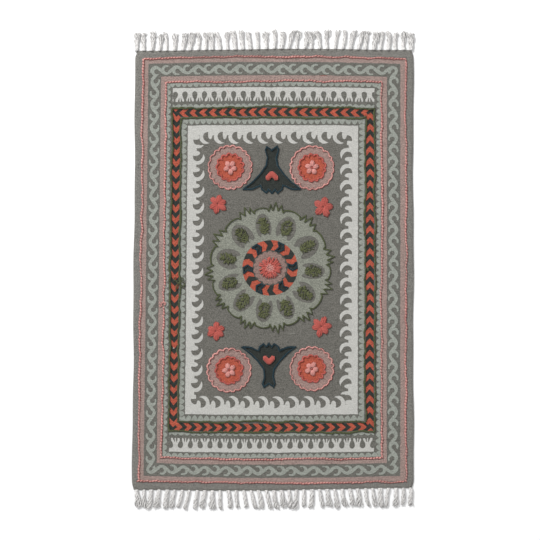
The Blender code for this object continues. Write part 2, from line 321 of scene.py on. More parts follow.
def new_group(name, inputs, outputs):
    """A node group with named number inputs and outputs."""
    group = bpy.data.node_groups.new(name, "ShaderNodeTree")
    for label in inputs:
        group.interface.new_socket(name=label, in_out="INPUT", socket_type="NodeSocketFloat")
    for label in outputs:
        group.interface.new_socket(name=label, in_out="OUTPUT", socket_type="NodeSocketFloat")
    entry = group.nodes.new("NodeGroupInput")
    group.nodes.new("NodeGroupOutput")
    return group, [Wire(group, entry.outputs[label]) for label in inputs]


def close_group(group, **results):
    leave = next(node for node in group.nodes if node.type == "GROUP_OUTPUT")
    for label, wire in results.items():
        group.links.new(wire.socket, leave.inputs[label])


def use_group(tree, group, **terms):
    node = tree.nodes.new("ShaderNodeGroup")
    node.node_tree = group
    for label, term in terms.items():
        feed(tree, node.inputs[label], term)
    found = [Wire(tree, socket) for socket in node.outputs]
    return found[0] if len(found) == 1 else found


def place_on_rug(tree):
    return tree.nodes.new("ShaderNodeTexCoord").outputs["Object"]


def split_place(tree, place_socket):
    node = tree.nodes.new("ShaderNodeSeparateXYZ")
    tree.links.new(place_socket, node.inputs["Vector"])
    return [Wire(tree, node.outputs[axis]) for axis in "XYZ"]


def cloud(tree, place_socket, scale, detail=2.0, stretch=(1.0, 1.0, 1.0)):
    """Soft random shade between 0 and 1, at a scale in repeats a metre."""
    mapping = tree.nodes.new("ShaderNodeMapping")
    mapping.inputs["Scale"].default_value = stretch
    tree.links.new(place_socket, mapping.inputs["Vector"])
    noise = tree.nodes.new("ShaderNodeTexNoise")
    noise.inputs["Scale"].default_value = scale
    noise.inputs["Detail"].default_value = detail
    tree.links.new(mapping.outputs["Vector"], noise.inputs["Vector"])
    return Wire(tree, noise.outputs["Fac"]), noise


print("formula helpers ready")

# %% [markdown]
# ## The borders' repeats
# Each border is one small cell, repeated along the frame. A first group says where a point
# lies in a frame: how deep inside its edge, and how far along it, clockwise. The groups after
# it draw the cells, in millimetres.

# %% Where a point lies in a frame
frame_group, (gu, gv, g_width, g_length) = new_group(
    "place_in_frame",
    ["U", "V", "Half Width", "Half Length"],
    ["Depth", "Along", "Side", "Side Depth", "End Depth", "Side Along", "End Along"],
)
to_side = g_width - abs(gu)
to_end = g_length - abs(gv)
on_side = calc("LESS_THAN", to_side, to_end)
along_end = gu * calc("SIGN", gv)
along_side = -(gv * calc("SIGN", gu))
close_group(
    frame_group,
    **{
        "Depth": lowest(to_side, to_end),
        "Along": blend_number(along_end, along_side, on_side),
        "Side": on_side,
        "Side Depth": to_side,
        "End Depth": to_end,
        "Side Along": along_side,
        "End Along": along_end,
    },
)

# %% Running scroll: a wave with a curled hook to each side in turn
wave_swing = 9.6
wave_half_width = 7.0
curl_radius = 16.2
curl_eye_radius = 7.9
scroll_group, (g_cells, g_depth, g_step) = new_group("running_scroll", ["Cells", "Depth", "Step"], ["Mask"])
number = calc("FLOOR", g_cells + 0.5)
x = (g_cells - number) * g_step
odd = calc("FLOORED_MODULO", number, 2.0)
turn_over = 1.0 - 2.0 * odd
y = -(turn_over * g_depth)
swing = calc("COSINE", x / g_step * math.pi)
wave = inside(abs(y + turn_over + wave_swing * swing) - wave_half_width + 1.8 * swing * swing)
y_curl = y - odd * 2.0
x_eye = x - 1.6 - odd * 1.4
y_eye = y_curl - 1.6 - odd * 1.2
curl = inside(length_of(x, y_curl) - curl_radius)
eye = inside(length_of(x_eye, y_eye) - curl_eye_radius)
mouth = lowest(inside(x_eye * -0.1 - y_eye), inside(y_eye - 1.6 * x_eye))
close_group(scroll_group, Mask=highest(without(wave, eye), without(curl, highest(eye, mouth))))

# %% Scallops along a line
scallop_group, (g_along, g_depth, g_pitch, g_base, g_tall) = new_group(
    "scallops", ["Along", "Depth", "Pitch", "Base", "Tall"], ["Mask"]
)
roundness = 0.62
scallop_tip = calc("POWER", abs(calc("SINE", g_along / g_pitch * math.pi)), roundness)
scallop = inside((g_depth - g_base - g_tall * scallop_tip) * 0.8)
close_group(scallop_group, Mask=lowest(scallop, inside(-g_depth)))

# %% Row of arrows in two colours
arrow_group, (g_cells, g_depth, g_pitch, g_width) = new_group(
    "arrow_row", ["Cells", "Depth", "Pitch", "Width"], ["Mask"]
)
arrow_slope = 1.12
phase = g_cells - abs(g_depth - g_width * 0.5) * arrow_slope / g_pitch
close_group(arrow_group, Mask=inside((abs(calc("FRACT", phase) - 0.25) - 0.25) * g_pitch))

# %% White hooks with a tongue between each two
hook_radius = 22.2
hollow_radius = 14.4
opening_radius = 18.6
tongue_half_size = (7.8, 15.5)
hook_group, (g_cells, g_depth, g_pitch) = new_group(
    "white_hooks", ["Cells", "Depth", "Pitch"], ["Hook", "Hollow", "Tongue"]
)
x = (g_cells - calc("FLOOR", g_cells + 0.555)) * g_pitch
hook = inside(length_of(x + 4.3, g_depth - 1.6) - hook_radius)
hollow = inside(length_of(x, g_depth) - hollow_radius)
opening = lowest(inside(length_of(x - 8.2, g_depth - 0.8) - opening_radius), inside(-3.6 - g_depth))
tongue_reach = length_of((x - 10.2) / tongue_half_size[0], (g_depth + 6.8) / tongue_half_size[1])
tongue = inside((tongue_reach - 1.0) * tongue_half_size[0])
close_group(hook_group, Hook=hook, Hollow=highest(hollow, opening), Tongue=tongue)

# %% White band of trunks, each ending in three fingers
band_tall = 44.2
drop_half_width = 8.6
drop_widest_at = 21.2
finger_root = 31.6
trunk_group, (g_cells, g_depth, g_pitch) = new_group("trunk_band", ["Cells", "Depth", "Pitch"], ["Mask"])
number = calc("FLOOR", g_cells + 0.5)
below = highest(g_depth - (drop_widest_at + 0.8), 0.0)
lean = calc("SINE", number * 2.4) * 0.14
x = (g_cells - number) * g_pitch + below * lean
above = highest(drop_widest_at - 0.7 - g_depth, 0.0) / drop_half_width
taper = calc("MULTIPLY", below, 1.0 / 15.0, clamp=True)
rounded = calc("SQRT", highest(1.0 - above * above, 0.0))
drop_width = drop_half_width * rounded - 5.4 * calc("POWER", taper, 1.9)
drop_width = drop_width + 0.12 * highest(g_depth - 36.5, 0.0)
drop = lowest(inside(abs(x) - drop_width), inside(11.9 - g_depth))
past_root = g_depth - finger_root
trunk = calc("FLOOR", g_cells)
finger_lean = calc("SINE", trunk * 1.9) * 0.10
finger_place = abs((g_cells - trunk - 0.5) * g_pitch + past_root * finger_lean)
notch = inside(abs(finger_place - 2.9 - past_root * 0.17) - past_root * 0.20 - 0.7)
notch = lowest(notch, inside(-past_root))
whole = inside(abs(g_depth - 0.5 * band_tall) - 0.5 * band_tall)
close_group(trunk_group, Mask=without(whole, highest(drop, notch)))
print("border groups:", [g.name for g in bpy.data.node_groups])

# %% [markdown]
# ## The field's motifs
# The medallion is drawn in its own turn and distance from the middle. Its eleven petals were
# drawn by hand and aren't even, so a curve turns the true angle into a count of petals. A
# second curve lifts the edge round each petal and into the three points of each crown. The
# forked figure is three lines: how wide it is at each height, and its upper and lower edge.

# %% Medallion
medallion_middle = place(*medallion_place)


def crown_turn(index, share):
    """Angle of a place between crowns, share 0 at the crown of this index and 1 at the next."""
    count = len(crown_angles)
    start = crown_angles[index % count]
    gap = (crown_angles[(index + 1) % count] - start) % 360
    return math.radians(start + gap * share)


petal_count = len(crown_angles)
opened = [(angle - crown_angles[0]) % 360 / 360.0 for angle in crown_angles] + [1.0]
petal_line = [(share, i / petal_count) for i, share in enumerate(opened)]

medallion_group, (g_x, g_y) = new_group(
    "medallion", ["X", "Y"], ["Body", "Window", "Ring", "Ring Dark", "Disc", "Rim"]
)
radius = length_of(g_x, g_y)
turn = calc("ARCTAN2", g_y, g_x)
turn_share = calc("FRACT", (turn - math.radians(crown_angles[0])) / (2.0 * math.pi) + 1.0)
petal = drawn_curve(turn_share, petal_line) * float(petal_count)
from_petal = calc("FRACT", petal) - 0.5
from_crown = 1.0 - abs(from_petal) * 2.0
crown_drop = 0.006
crown_tall = 0.032
edge_line = [(2.0 * crown_half_share * share, up) for share, up in crown_points]
for share in (0.12, 0.30, 0.50):
    place_on_petal = crown_half_share + (1.0 - 2.0 * crown_half_share) * share
    edge_line.append((2.0 * place_on_petal, petal_rise * math.sin(math.pi * share) ** 0.6))
edge_line = [(share, (up + crown_drop) / crown_tall) for share, up in edge_line]
edge = drawn_curve(from_crown, edge_line) * (crown_tall * 1000.0) + (medallion_edge - crown_drop) * 1000.0
body = inside(radius - edge)
across = abs(from_petal) * radius * (2.0 * math.pi / petal_count)
window_middle = 137.0
window_half_size = (28.5, 40.0)
tongue_tip = 126.0
tongue_slope = 1.25
tooth_pitch = 7.6
tooth_tall = 9.0
window_reach = length_of(across / window_half_size[0], (radius - window_middle) / window_half_size[1])
window = inside((window_reach - 1.0) * 26.0)
tooth_place = calc("FRACT", across / tooth_pitch + 0.5) - 0.5
tongue_edge = tongue_tip + abs(tooth_place) * tooth_tall - across * tongue_slope
window = without(window, inside(radius - tongue_edge))
ring_middle = 500.0 * (ring_inner + ring_outer)
ring_half_width = 500.0 * (ring_outer - ring_inner)
ring = inside(abs(radius - ring_middle) - ring_half_width)
ring_slant = (1.0 - abs(radius - ring_middle) / ring_half_width) * 7.2
arrow_degrees = 180.0 / ring_arrows
arrow_phase = (turn * (180.0 / math.pi) + ring_slant - math.degrees(ring_turn)) / arrow_degrees
ring_dark = inside((abs(calc("FRACT", arrow_phase + 1.5) - 0.5) - 0.25) * 34.0)
disc_scallop = abs(calc("SINE", turn * 9.0)) * 5.0
disc = inside(radius - (ring_inner * 1000.0 - 7.4) - disc_scallop)
rim = inside(radius - ring_inner * 1000.0)
close_group(
    medallion_group,
    **{"Body": body, "Window": window, "Ring": ring, "Ring Dark": ring_dark, "Disc": disc, "Rim": rim},
)

# %% Fork-tailed figure
figure_half_outline = (
    (0.0000, 0.0625),
    (0.0165, 0.0750),
    (0.0215, 0.0640),
    (0.0145, 0.0380),
    (0.0185, 0.0120),
    (0.0390, -0.0165),
    (0.0620, -0.0400),
    (0.0930, -0.0640),
    (0.0655, -0.0640),
    (0.0365, -0.0510),
    (0.0320, -0.0650),
    (0.0185, -0.0760),
    (0.0100, -0.0650),
    (0.0000, -0.0765),
)
figure_span = 0.0930
figure_low = -0.0770
figure_tall = 0.1540
flank = [(y, x) for x, y in reversed(figure_half_outline[2:8])]
crest = figure_half_outline[0:3]
skirt = [figure_half_outline[i] for i in (13, 12, 11, 10, 9, 8, 7)]


def share_of_height(y):
    return (y - figure_low) / figure_tall


figure_group, (g_x, g_y, g_across, g_along, g_scale) = new_group(
    "forked_figure", ["X", "Y", "Across", "Along", "Scale"], ["Mask"]
)
span = figure_span * 1000.0
tall = figure_tall * 1000.0
x_share = abs(g_x - g_across) / abs(g_scale) / span
height = (g_y - g_along) / g_scale / tall - figure_low / figure_tall
flank_line = [(0.0, 1.0)] + [(share_of_height(y), x / figure_span) for y, x in flank] + [(1.0, 0.22)]
crest_line = [(x / figure_span, share_of_height(y)) for x, y in crest] + [(1.0, 0.9)]
skirt_line = [(x / figure_span, share_of_height(y)) for x, y in skirt]
in_flank = inside((x_share - drawn_curve(height, flank_line)) * span)
in_crest = inside((height - drawn_curve(x_share, crest_line)) * tall)
in_skirt = inside((drawn_curve(x_share, skirt_line) - height) * tall)
close_group(figure_group, Mask=lowest(in_flank, in_crest, in_skirt))
print("motif groups:", medallion_group.name, figure_group.name)

# %% [markdown]
# ## Small marks
# A used rug has stains, loose ends and specks of lint. Each is one soft ellipse, long and thin
# for a thread and round for a speck, so one group with its place and size serves them all.

# %% A small mark
mark_group, (g_x, g_y, g_across, g_along, g_half_long, g_half_wide, g_slope) = new_group(
    "small_mark", ["X", "Y", "Across", "Along", "Half Long", "Half Wide", "Slope"], ["Mask"]
)
run = (g_x - g_across) / g_half_long
side = (g_y - g_along - g_slope * (g_x - g_across)) / g_half_wide
close_group(mark_group, Mask=calc("MULTIPLY_ADD", length_of(run, side), -1.6, 2.1, clamp=True))

# %% [markdown]
# ## Weave and yarn
# Two effects serve every material. The weave is a grid of slubby cotton threads, and the yarn
# effect is the fine fibres and plies of embroidery cotton. Both give a shade and a height.

# %% Weave and fibre groups
weave_group, () = new_group("flat_weave", [], ["Shade", "Height"])
spot = place_on_rug(weave_group)
warp_place, weft_place, _ = split_place(weave_group, spot)
slub, _ = cloud(weave_group, spot, 240.0, 2.0, (0.36, 1.0, 1.0))
speckle, _ = cloud(weave_group, spot, 290.0, 1.0)
patch, _ = cloud(weave_group, spot, 14.0, 3.0)
warp_thread = calc("SINE", warp_place * (2.0 * math.pi / 0.0023) + slub * 3.0)
weft_thread = calc("SINE", weft_place * (2.0 * math.pi / 0.0019) + slub * 4.0)
crossing = warp_thread * weft_thread
weave_height = crossing * 0.35 + slub * 0.9
weave_shade = 0.5 + (speckle - 0.5) * 1.9 + (slub - 0.5) * 0.9 + crossing * 0.06 + (patch - 0.5) * 0.25
close_group(weave_group, Shade=weave_shade, Height=weave_height)

fibre_group, () = new_group("yarn_fibres", [], ["Shade", "Height"])
spot = place_on_rug(fibre_group)
fuzz, _ = cloud(fibre_group, spot, 800.0, 2.0)
batch, _ = cloud(fibre_group, spot, 250.0, 2.0)
close_group(fibre_group, Shade=0.5 + (fuzz - 0.5) * 0.8 + (batch - 0.5) * 1.4, Height=fuzz)
print("surface groups:", weave_group.name, fibre_group.name)

# %% [markdown]
# ## Colours and surfaces
# The print colours are written as they look in the photograph. The light adds a little to
# each, so a dye is that colour less what the light adds. All cloth and yarn is matt, and its
# roughness is real height in the weave, so it goes through a Bump node.

# %% Print colours and matt surfaces
light_level = 1.16
print_colours = {
    "field": (112, 110, 104),
    "margin": (129, 127, 122),
    "border_ground": (111, 110, 104),
    "dusty_pink": (161, 140, 133),
    "sage": (156, 160, 152),
    "medallion_sage": (141, 143, 132),
    "white": (199, 198, 193),
    "orange": (180, 90, 71),
    "charcoal": (53, 57, 54),
    "block_edge": (82, 82, 77),
    "disc_pink": (160, 134, 127),
    "centre_pink": (146, 122, 115),
    "edge_pink": (122, 98, 92),
}


def seen_as(red, green, blue):
    """The dye that looks like this colour in the photograph's light."""
    return (*[c / light_level for c in paint(red, green, blue)], 1.0)


def dye(name):
    return seen_as(*print_colours[name])


def principled(name, roughness):
    material = bpy.data.materials.new(name)
    material.use_nodes = True
    surface = material.node_tree.nodes["Principled BSDF"]
    surface.inputs["Roughness"].default_value = roughness
    surface.inputs["Specular IOR Level"].default_value = 0.15
    return material, material.node_tree, surface


def rough_surface(tree, surface, height, depth):
    bump = tree.nodes.new("ShaderNodeBump")
    bump.inputs["Strength"].default_value = 0.7
    bump.inputs["Distance"].default_value = depth
    tree.links.new(height.socket, bump.inputs["Height"])
    tree.links.new(bump.outputs["Normal"], surface.inputs["Normal"])


def shaded(tree, colour, shade, low, high):
    """Darkens and lightens a colour by a shade between 0 and 1."""
    factor = blend_number(low, high, shade)
    grey = tree.nodes.new("ShaderNodeCombineColor")
    for label in ("Red", "Green", "Blue"):
        tree.links.new(factor.socket, grey.inputs[label])
    return blend_colour(tree, colour, Wire(tree, grey.outputs["Color"]), 1.0, "MULTIPLY")


def woven(tree, surface, colour, weave_look, weave_lift):
    """Gives a surface its colour with the weave's shade, and the weave's height."""
    tree.links.new(shaded(tree, colour, weave_look, 0.62, 1.38).socket, surface.inputs["Base Color"])
    rough_surface(tree, surface, weave_lift, 0.0009)


print("print colours:", len(print_colours))

# %% [markdown]
# ## The printed face
# The face's material layers the print as a printer would: pale bands first, then the borders,
# then the field's motifs. A little noise moves the edges, as a hand block does. The borders
# read the pattern's own map, and the motifs read the cloth's coordinates.

# %% Where the print is
face_material, tree, surface = principled("printed_cotton", 0.92)
spot = place_on_rug(tree)
pattern_map = tree.nodes.new("ShaderNodeUVMap")
pattern_map.uv_map = "pattern"
block_wander = 4.6
_, wander = cloud(tree, spot, 42.0, 3.0)
shift = tree.nodes.new("ShaderNodeVectorMath")
shift.operation = "MULTIPLY_ADD"
shift.inputs[1].default_value = (block_wander, block_wander, 0.0)
shift.inputs[2].default_value = (-0.5 * block_wander, -0.5 * block_wander, 0.0)
tree.links.new(wander.outputs["Color"], shift.inputs[0])


def in_millimetres(source):
    """A place's x and y in millimetres, with the wander of the printing block."""
    node = tree.nodes.new("ShaderNodeVectorMath")
    node.operation = "MULTIPLY_ADD"
    node.inputs[1].default_value = (1000.0, 1000.0, 1000.0)
    tree.links.new(source, node.inputs[0])
    tree.links.new(shift.outputs["Vector"], node.inputs[2])
    return split_place(tree, node.outputs["Vector"])[:2]


u, v = in_millimetres(pattern_map.outputs["UV"])
x, y = in_millimetres(spot)


def in_frame(half_size, swell=0.0):
    """Depth and place along a frame's sides and ends, by name."""
    half_width, half_length = half_size
    terms = {"Half Width": half_width * 1000.0 + swell, "Half Length": half_length * 1000.0 + swell}
    found = use_group(tree, frame_group, U=u, V=v, **terms)
    return dict(zip(("depth", "along", "side", "side_depth", "end_depth", "side_along", "end_along"), found))


def printed(colour, mask, ink, edge=0.5, edge_ink="block_edge"):
    """Prints a shape over a colour: a thin darker line round it, where the block bit, then its ink."""
    if edge:
        line = calc("MULTIPLY_ADD", mask, 3.0, -0.5, clamp=True)
        colour = blend_colour(tree, colour, dye(edge_ink), line * edge)
    sharp = calc("MULTIPLY_ADD", mask, 5.0, -2.0, clamp=True)
    return blend_colour(tree, colour, ink, sharp)


print("print is placed by:", pattern_map.uv_map, "and Object")

# %% [markdown]
# ## Outer borders
# Between the two pink lines lie two plain pink bands and the running scroll. At two corners
# the scroll's side meets its end on the diagonal. At the other two the end's last curl turns
# the corner, and the side starts below it. A quarter circle rounds all four.

# %% Pink bands and running scroll
margin_edge = 18.0
pink_bands = ((8.8, 8.3), (68.8, 8.6))
end_step = 35.4
side_step = 37.13
side_shift = 20.0
scroll_middle = 38.6
scroll_half_width = 20.4
below_last_curl = 55.0
corner_centre = 45.0
corner_radius = 22.4
first = in_frame(outer_frame)
bands = [inside(abs(first["depth"] - middle) - half_width) for middle, half_width in pink_bands]
curled_corner = calc("GREATER_THAN", first["side_along"], 0.0)
side_start = blend_number(first["side_depth"], below_last_curl, curled_corner)
down_side = calc("LESS_THAN", side_start, first["end_depth"])
scroll_depth = blend_number(first["end_depth"], first["side_depth"], down_side) - scroll_middle
end_cells = first["end_along"] / end_step
side_cells = (first["side_along"] + side_shift) / side_step
scroll_cells = blend_number(end_cells, side_cells, down_side)
scroll_step = blend_number(end_step, side_step, down_side)
scroll = use_group(tree, scroll_group, Cells=scroll_cells, Depth=scroll_depth, Step=scroll_step)
to_side = highest(corner_centre - first["side_depth"], 0.0)
to_end = highest(corner_centre - first["end_depth"], 0.0)
rounded = inside(length_of(to_side, to_end) - corner_radius)
scroll = lowest(scroll, inside(abs(scroll_depth) - scroll_half_width), rounded)

# %% [markdown]
# ## Middle borders
# Rows of scallops hang on both sides of the white trunks and line the arrows. Only the two
# ends have trunks, because the rug is longer than it is wide. The arrows run clockwise, with
# a slightly longer step on the sides.

# %% Scallops, trunks and arrows
trunk_pitch = 32.7
row_half_length = 331.0
arrow_width = 25.2
second = in_frame(second_frame, -3.0)
scallops = use_group(
    tree, scallop_group, Along=second["along"], Depth=second["depth"], Pitch=20.2, Base=3.0, Tall=11.6
)
trunk_depth = (second_frame[1] * 1000.0 - 20.6) - abs(v)
upper = calc("SIGN", v)
trunk_cells = (upper * (u - 2.6) - 1.9) / trunk_pitch
trunks = use_group(tree, trunk_group, Cells=trunk_cells, Depth=trunk_depth, Pitch=trunk_pitch)
trunks = lowest(trunks, inside(abs(u) - row_half_length))

third = in_frame(third_frame)
outside_depth = -(third["end_depth"] + 1.5)
end_scallops = use_group(
    tree, scallop_group, Along=third["end_along"], Depth=outside_depth, Pitch=20.1, Base=3.6, Tall=7.6
)
scallops = highest(scallops, lowest(end_scallops, inside(abs(u) - row_half_length)))
arrow_depth = third["depth"] - 2.6
arrow_pitch = blend_number(33.1, 36.7, third["side"])
arrow_band = inside(abs(arrow_depth - 0.5 * arrow_width) - 12.8)
arrow_cells = third["along"] / arrow_pitch + blend_number(0.311, -0.044, third["side"])
arrows = use_group(
    tree, arrow_group, Cells=arrow_cells, Depth=arrow_depth, Pitch=arrow_pitch, Width=arrow_width
)
fourth = in_frame(fourth_frame, -2.6)
inner_scallops = use_group(
    tree, scallop_group, Along=fourth["along"], Depth=fourth["depth"], Pitch=19.8, Base=3.6, Tall=14.6
)
scallops = highest(scallops, inner_scallops)

# %% [markdown]
# ## White border
# A plain white panel carries a row of hooks that reach into the field. The rows along the
# ends and along the sides have their own pitch, and the end's row wins in the corners.

# %% White panel and hooks
end_pitch = 48.7
side_pitch = 52.5
end_hook_depth = 36.0
side_hook_depth = 33.5
end_row_tall = 64.0
end_row_half_length = 242.0
side_row_half_length = 436.0
end_panel_tall = 32.4
side_panel_wide = 29.9
fifth = in_frame(white_frame)
past_end_row = abs(fifth["end_along"] - 1.5) - end_row_half_length
at_end = inside(highest(fifth["end_depth"] - end_row_tall, past_end_row), 0.1)
end_cells = (fifth["end_along"] - 5.6) / end_pitch - 0.5
end_hooks = use_group(
    tree, hook_group, Cells=end_cells, Depth=fifth["end_depth"] - end_hook_depth, Pitch=end_pitch
)
side_cells = (fifth["side_along"] + 1.0) / side_pitch
side_hooks = use_group(
    tree, hook_group, Cells=side_cells, Depth=fifth["side_depth"] - side_hook_depth, Pitch=side_pitch
)
side_row = inside(abs(fifth["side_along"]) - side_row_half_length)
hook, hollow, tongue = [
    blend_number(lowest(on_side, side_row), on_end, at_end) for on_side, on_end in zip(side_hooks, end_hooks)
]
panel = highest(inside(fifth["end_depth"] - end_panel_tall), inside(fifth["side_depth"] - side_panel_wide))
hooks = lowest(highest(without(highest(panel, hook), hollow), tongue), inside(-fifth["depth"]))

# %% Borders printed over the ground
colour = printed(dye("margin"), inside(margin_edge - first["depth"]), dye("border_ground"), 0.0)
colour = printed(colour, inside(-fifth["depth"]), dye("field"), 0.0)
colour = printed(colour, highest(*bands), dye("dusty_pink"), 0.25)
colour = printed(colour, highest(scroll, scallops), dye("sage"), 0.75)
whites = highest(trunks, hooks)
colour = printed(colour, whites, dye("white"), 0.4)
arrow_colour = printed(dye("charcoal"), arrows, dye("orange"), 0.0)
colour = printed(colour, arrow_band, arrow_colour, 0.3)
print("borders printed:", len(tree.nodes), "nodes")

# %% [markdown]
# ## Motifs and marks
# The motifs lie on the field where their yarn does, so they use the same places. Last come
# the small marks and the weave. Print ink evens out the weave's shade, so the pale inks
# show less of it.


# %% Motifs printed on the field
def in_cloth_millimetres(place_u, place_v):
    return place(place_u, place_v) * 1000.0


spots = [in_cloth_millimetres(place_u, place_v) for place_u, place_v in rosette_places]
rosette_distance = lowest(*[length_of(x - spot.x, y - spot.y) for spot in spots])
colour = printed(colour, inside(rosette_distance - 70.5), dye("disc_pink"), 0.4)
colour = printed(colour, inside(rosette_distance - 43.5), dye("orange"), 0.3, "edge_pink")

body, window, ring, ring_dark, disc, rim = use_group(
    tree, medallion_group, X=x - medallion_middle.x * 1000.0, Y=y - medallion_middle.y * 1000.0
)
colour = printed(colour, body, dye("medallion_sage"), 0.4)
colour = printed(colour, window, dye("field"), 0.8)
colour = printed(colour, rim, dye("block_edge"), 0.0)
colour = printed(colour, disc, dye("centre_pink"), 0.5)
ring_colour = printed(dye("orange"), ring_dark, dye("charcoal"), 0.0)
colour = printed(colour, ring, ring_colour, 0.3)

for place_u, place_v, scale in figure_places:
    spot = in_cloth_millimetres(place_u, place_v)
    figure = use_group(tree, figure_group, X=x, Y=y, Across=spot.x, Along=spot.y, Scale=scale)
    colour = printed(colour, figure, dye("charcoal"), 0.0)

# %% Marks and weave
small_marks = (
    ("stain", (-375.0, -309.4), (3.0, 2.8), 0.0, (96, 76, 60), 0.7),
    ("red thread", (163.0, 632.0), (13.0, 1.8), 0.05, (140, 78, 70), 0.6),
    ("red thread", (-149.0, 581.0), (6.0, 1.6), -1.4, (150, 88, 80), 0.5),
    ("pale thread", (61.5, -206.5), (12.0, 1.3), 0.1, (160, 160, 152), 0.5),
    ("lint", (-326.0, -255.0), (2.4, 2.0), 0.0, (200, 196, 188), 0.8),
    ("lint", (-103.0, -89.0), (2.2, 1.8), 0.0, (205, 202, 194), 0.6),
)
for _, (across, along), (half_long, half_wide), slope, seen, strength in small_marks:
    terms = {"Across": across, "Along": along, "Half Long": half_long, "Half Wide": half_wide, "Slope": slope}
    mark = use_group(tree, mark_group, X=x, Y=y, **terms)
    colour = blend_colour(tree, colour, seen_as(*seen), mark * strength)

weave_look, weave_lift = use_group(tree, weave_group)
pale = calc("MULTIPLY_ADD", highest(scroll, scallops), 0.35, whites * 0.55)
woven(tree, surface, colour, 0.5 + (weave_look - 0.5) * (1.0 - pale), weave_lift)
print("printed face:", len(tree.nodes), "nodes")

# %% Plain cotton for the edge and the underside
plain_material, tree, surface = principled("plain_cotton", 0.92)
woven(tree, surface, dye("margin"), *use_group(tree, weave_group))
print("plain cotton:", len(tree.nodes), "nodes")

# %% [markdown]
# ## The cloth
# The real cloth is one woven sheet with edges that wander a little and a face that never lies
# quite flat. A grid is moved to the cloth's outline, its rim is pulled down to the floor, and
# the underside is closed flat.


# %% Cloth outline and rise
def slow_wave(distance, phase):
    return 0.0013 * math.sin(distance / 0.093 + phase) + 0.0007 * math.sin(distance / 0.036 + 2.1 * phase)


def cloth_side_x(y, side):
    share = y / (cloth_half_length - 0.0032)
    lean = 0.0054 * share if side < 0 else -0.0004 * share
    tuck = 0.0050 * max(0.0, abs(share) - 0.975) / 0.025
    return side * (cloth_half_width - tuck) + lean + slow_wave(y, 1.3 * side)


def cloth_end_y(x, end):
    across = x / cloth_half_width
    bow = 0.0050 * (1.0 - across * across)
    slope = 0.0020 * across if end > 0 else 0.0040 * across
    return end * (cloth_half_length - 0.0050 + bow) + slope + 0.6 * slow_wave(x, 0.7 * end)


def rise(x, y):
    """Height of the cloth's face: the sheet's thickness and the slow unevenness of the weave."""
    roll = math.sin(x * 31.0 + 2.0 * math.sin(y * 9.0)) * math.sin(y * 23.0 + 1.5 * math.sin(x * 13.0))
    ripple = math.sin(y * 61.0 + 3.0 * math.sin(x * 17.0))
    return cloth_top_height + 0.00035 * roll + 0.00015 * ripple


print("cloth is", round(rise(0.0, 0.0), 5), "m high in the middle")


def add_piece(name, bm_or_mesh, materials, nodes):
    """Links a finished piece, hides the solids that it stands for and says what it rides on."""
    if isinstance(bm_or_mesh, bpy.types.Mesh):
        mesh = bm_or_mesh
    else:
        mesh = bpy.data.meshes.new(name)
        bm_or_mesh.to_mesh(mesh)
        bm_or_mesh.free()
    mesh.name = name
    for material in materials:
        mesh.materials.append(material)
    piece = bpy.data.objects.new(name, mesh)
    bpy.context.scene.collection.objects.link(piece)
    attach(piece, "root")
    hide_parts(*nodes)
    return piece


# %% Cloth mesh
cells_across = 110
cells_along = 174
bm = bmesh.new()
bmesh.ops.create_grid(bm, x_segments=cells_across, y_segments=cells_along, size=1.0)
inset = 0.0012
for vert in bm.verts:
    x_share = vert.co.x
    y_share = vert.co.y
    y_guess = y_share * (cloth_half_length - inset)
    left = cloth_side_x(y_guess, -1) + inset
    right = cloth_side_x(y_guess, 1) - inset
    x_new = left + (right - left) * (x_share * 0.5 + 0.5)
    low = cloth_end_y(x_new, -1) + inset
    high = cloth_end_y(x_new, 1) - inset
    y_new = low + (high - low) * (y_share * 0.5 + 0.5)
    vert.co = (x_new, y_new, rise(x_new, y_new))
rim_edges = [edge for edge in bm.edges if edge.is_boundary]


def pull_rim(edges, outwards, drop_to):
    """Extrudes the open rim and moves the new edge outwards and down. The new strip is plain cotton."""
    made = bmesh.ops.extrude_edge_only(bm, edges=edges)["geom"]
    new_verts = [item for item in made if isinstance(item, bmesh.types.BMVert)]
    new_edges = [item for item in made if isinstance(item, bmesh.types.BMEdge) and item.is_boundary]
    for vert in new_verts:
        way = Vector((vert.co.x / cloth_half_width, vert.co.y / cloth_half_length, 0.0))
        way.x = math.copysign(1.0, way.x) if abs(way.x) > 0.985 else 0.0
        way.y = math.copysign(1.0, way.y) if abs(way.y) > 0.985 else 0.0
        vert.co += way * outwards
        vert.co.z = drop_to
    for item in made:
        if isinstance(item, bmesh.types.BMFace):
            item.material_index = 1
    return new_edges


rim_edges = pull_rim(rim_edges, 0.0010, cloth_top_height - 0.0008)
rim_edges = pull_rim(rim_edges, 0.0002, 0.0008)
rim_edges = pull_rim(rim_edges, -0.0006, 0.0)
closing = bmesh.ops.contextual_create(bm, geom=rim_edges)["faces"]
for face in closing:
    face.material_index = 1
bmesh.ops.triangulate(bm, faces=closing)
bmesh.ops.recalc_face_normals(bm, faces=bm.faces)
for face in bm.faces:
    face.smooth = face.material_index == 0
print("cloth mesh:", cells_across, "by", cells_along, "cells on top")

# %% [markdown]
# ## Two maps of the cloth
# The first map holds each point's place in the drawn pattern, which the print reads. The
# second lays the whole skin out flat without overlaps, so that its colours can be baked: the
# face takes the left of the picture, the underside and the thin edges the right.

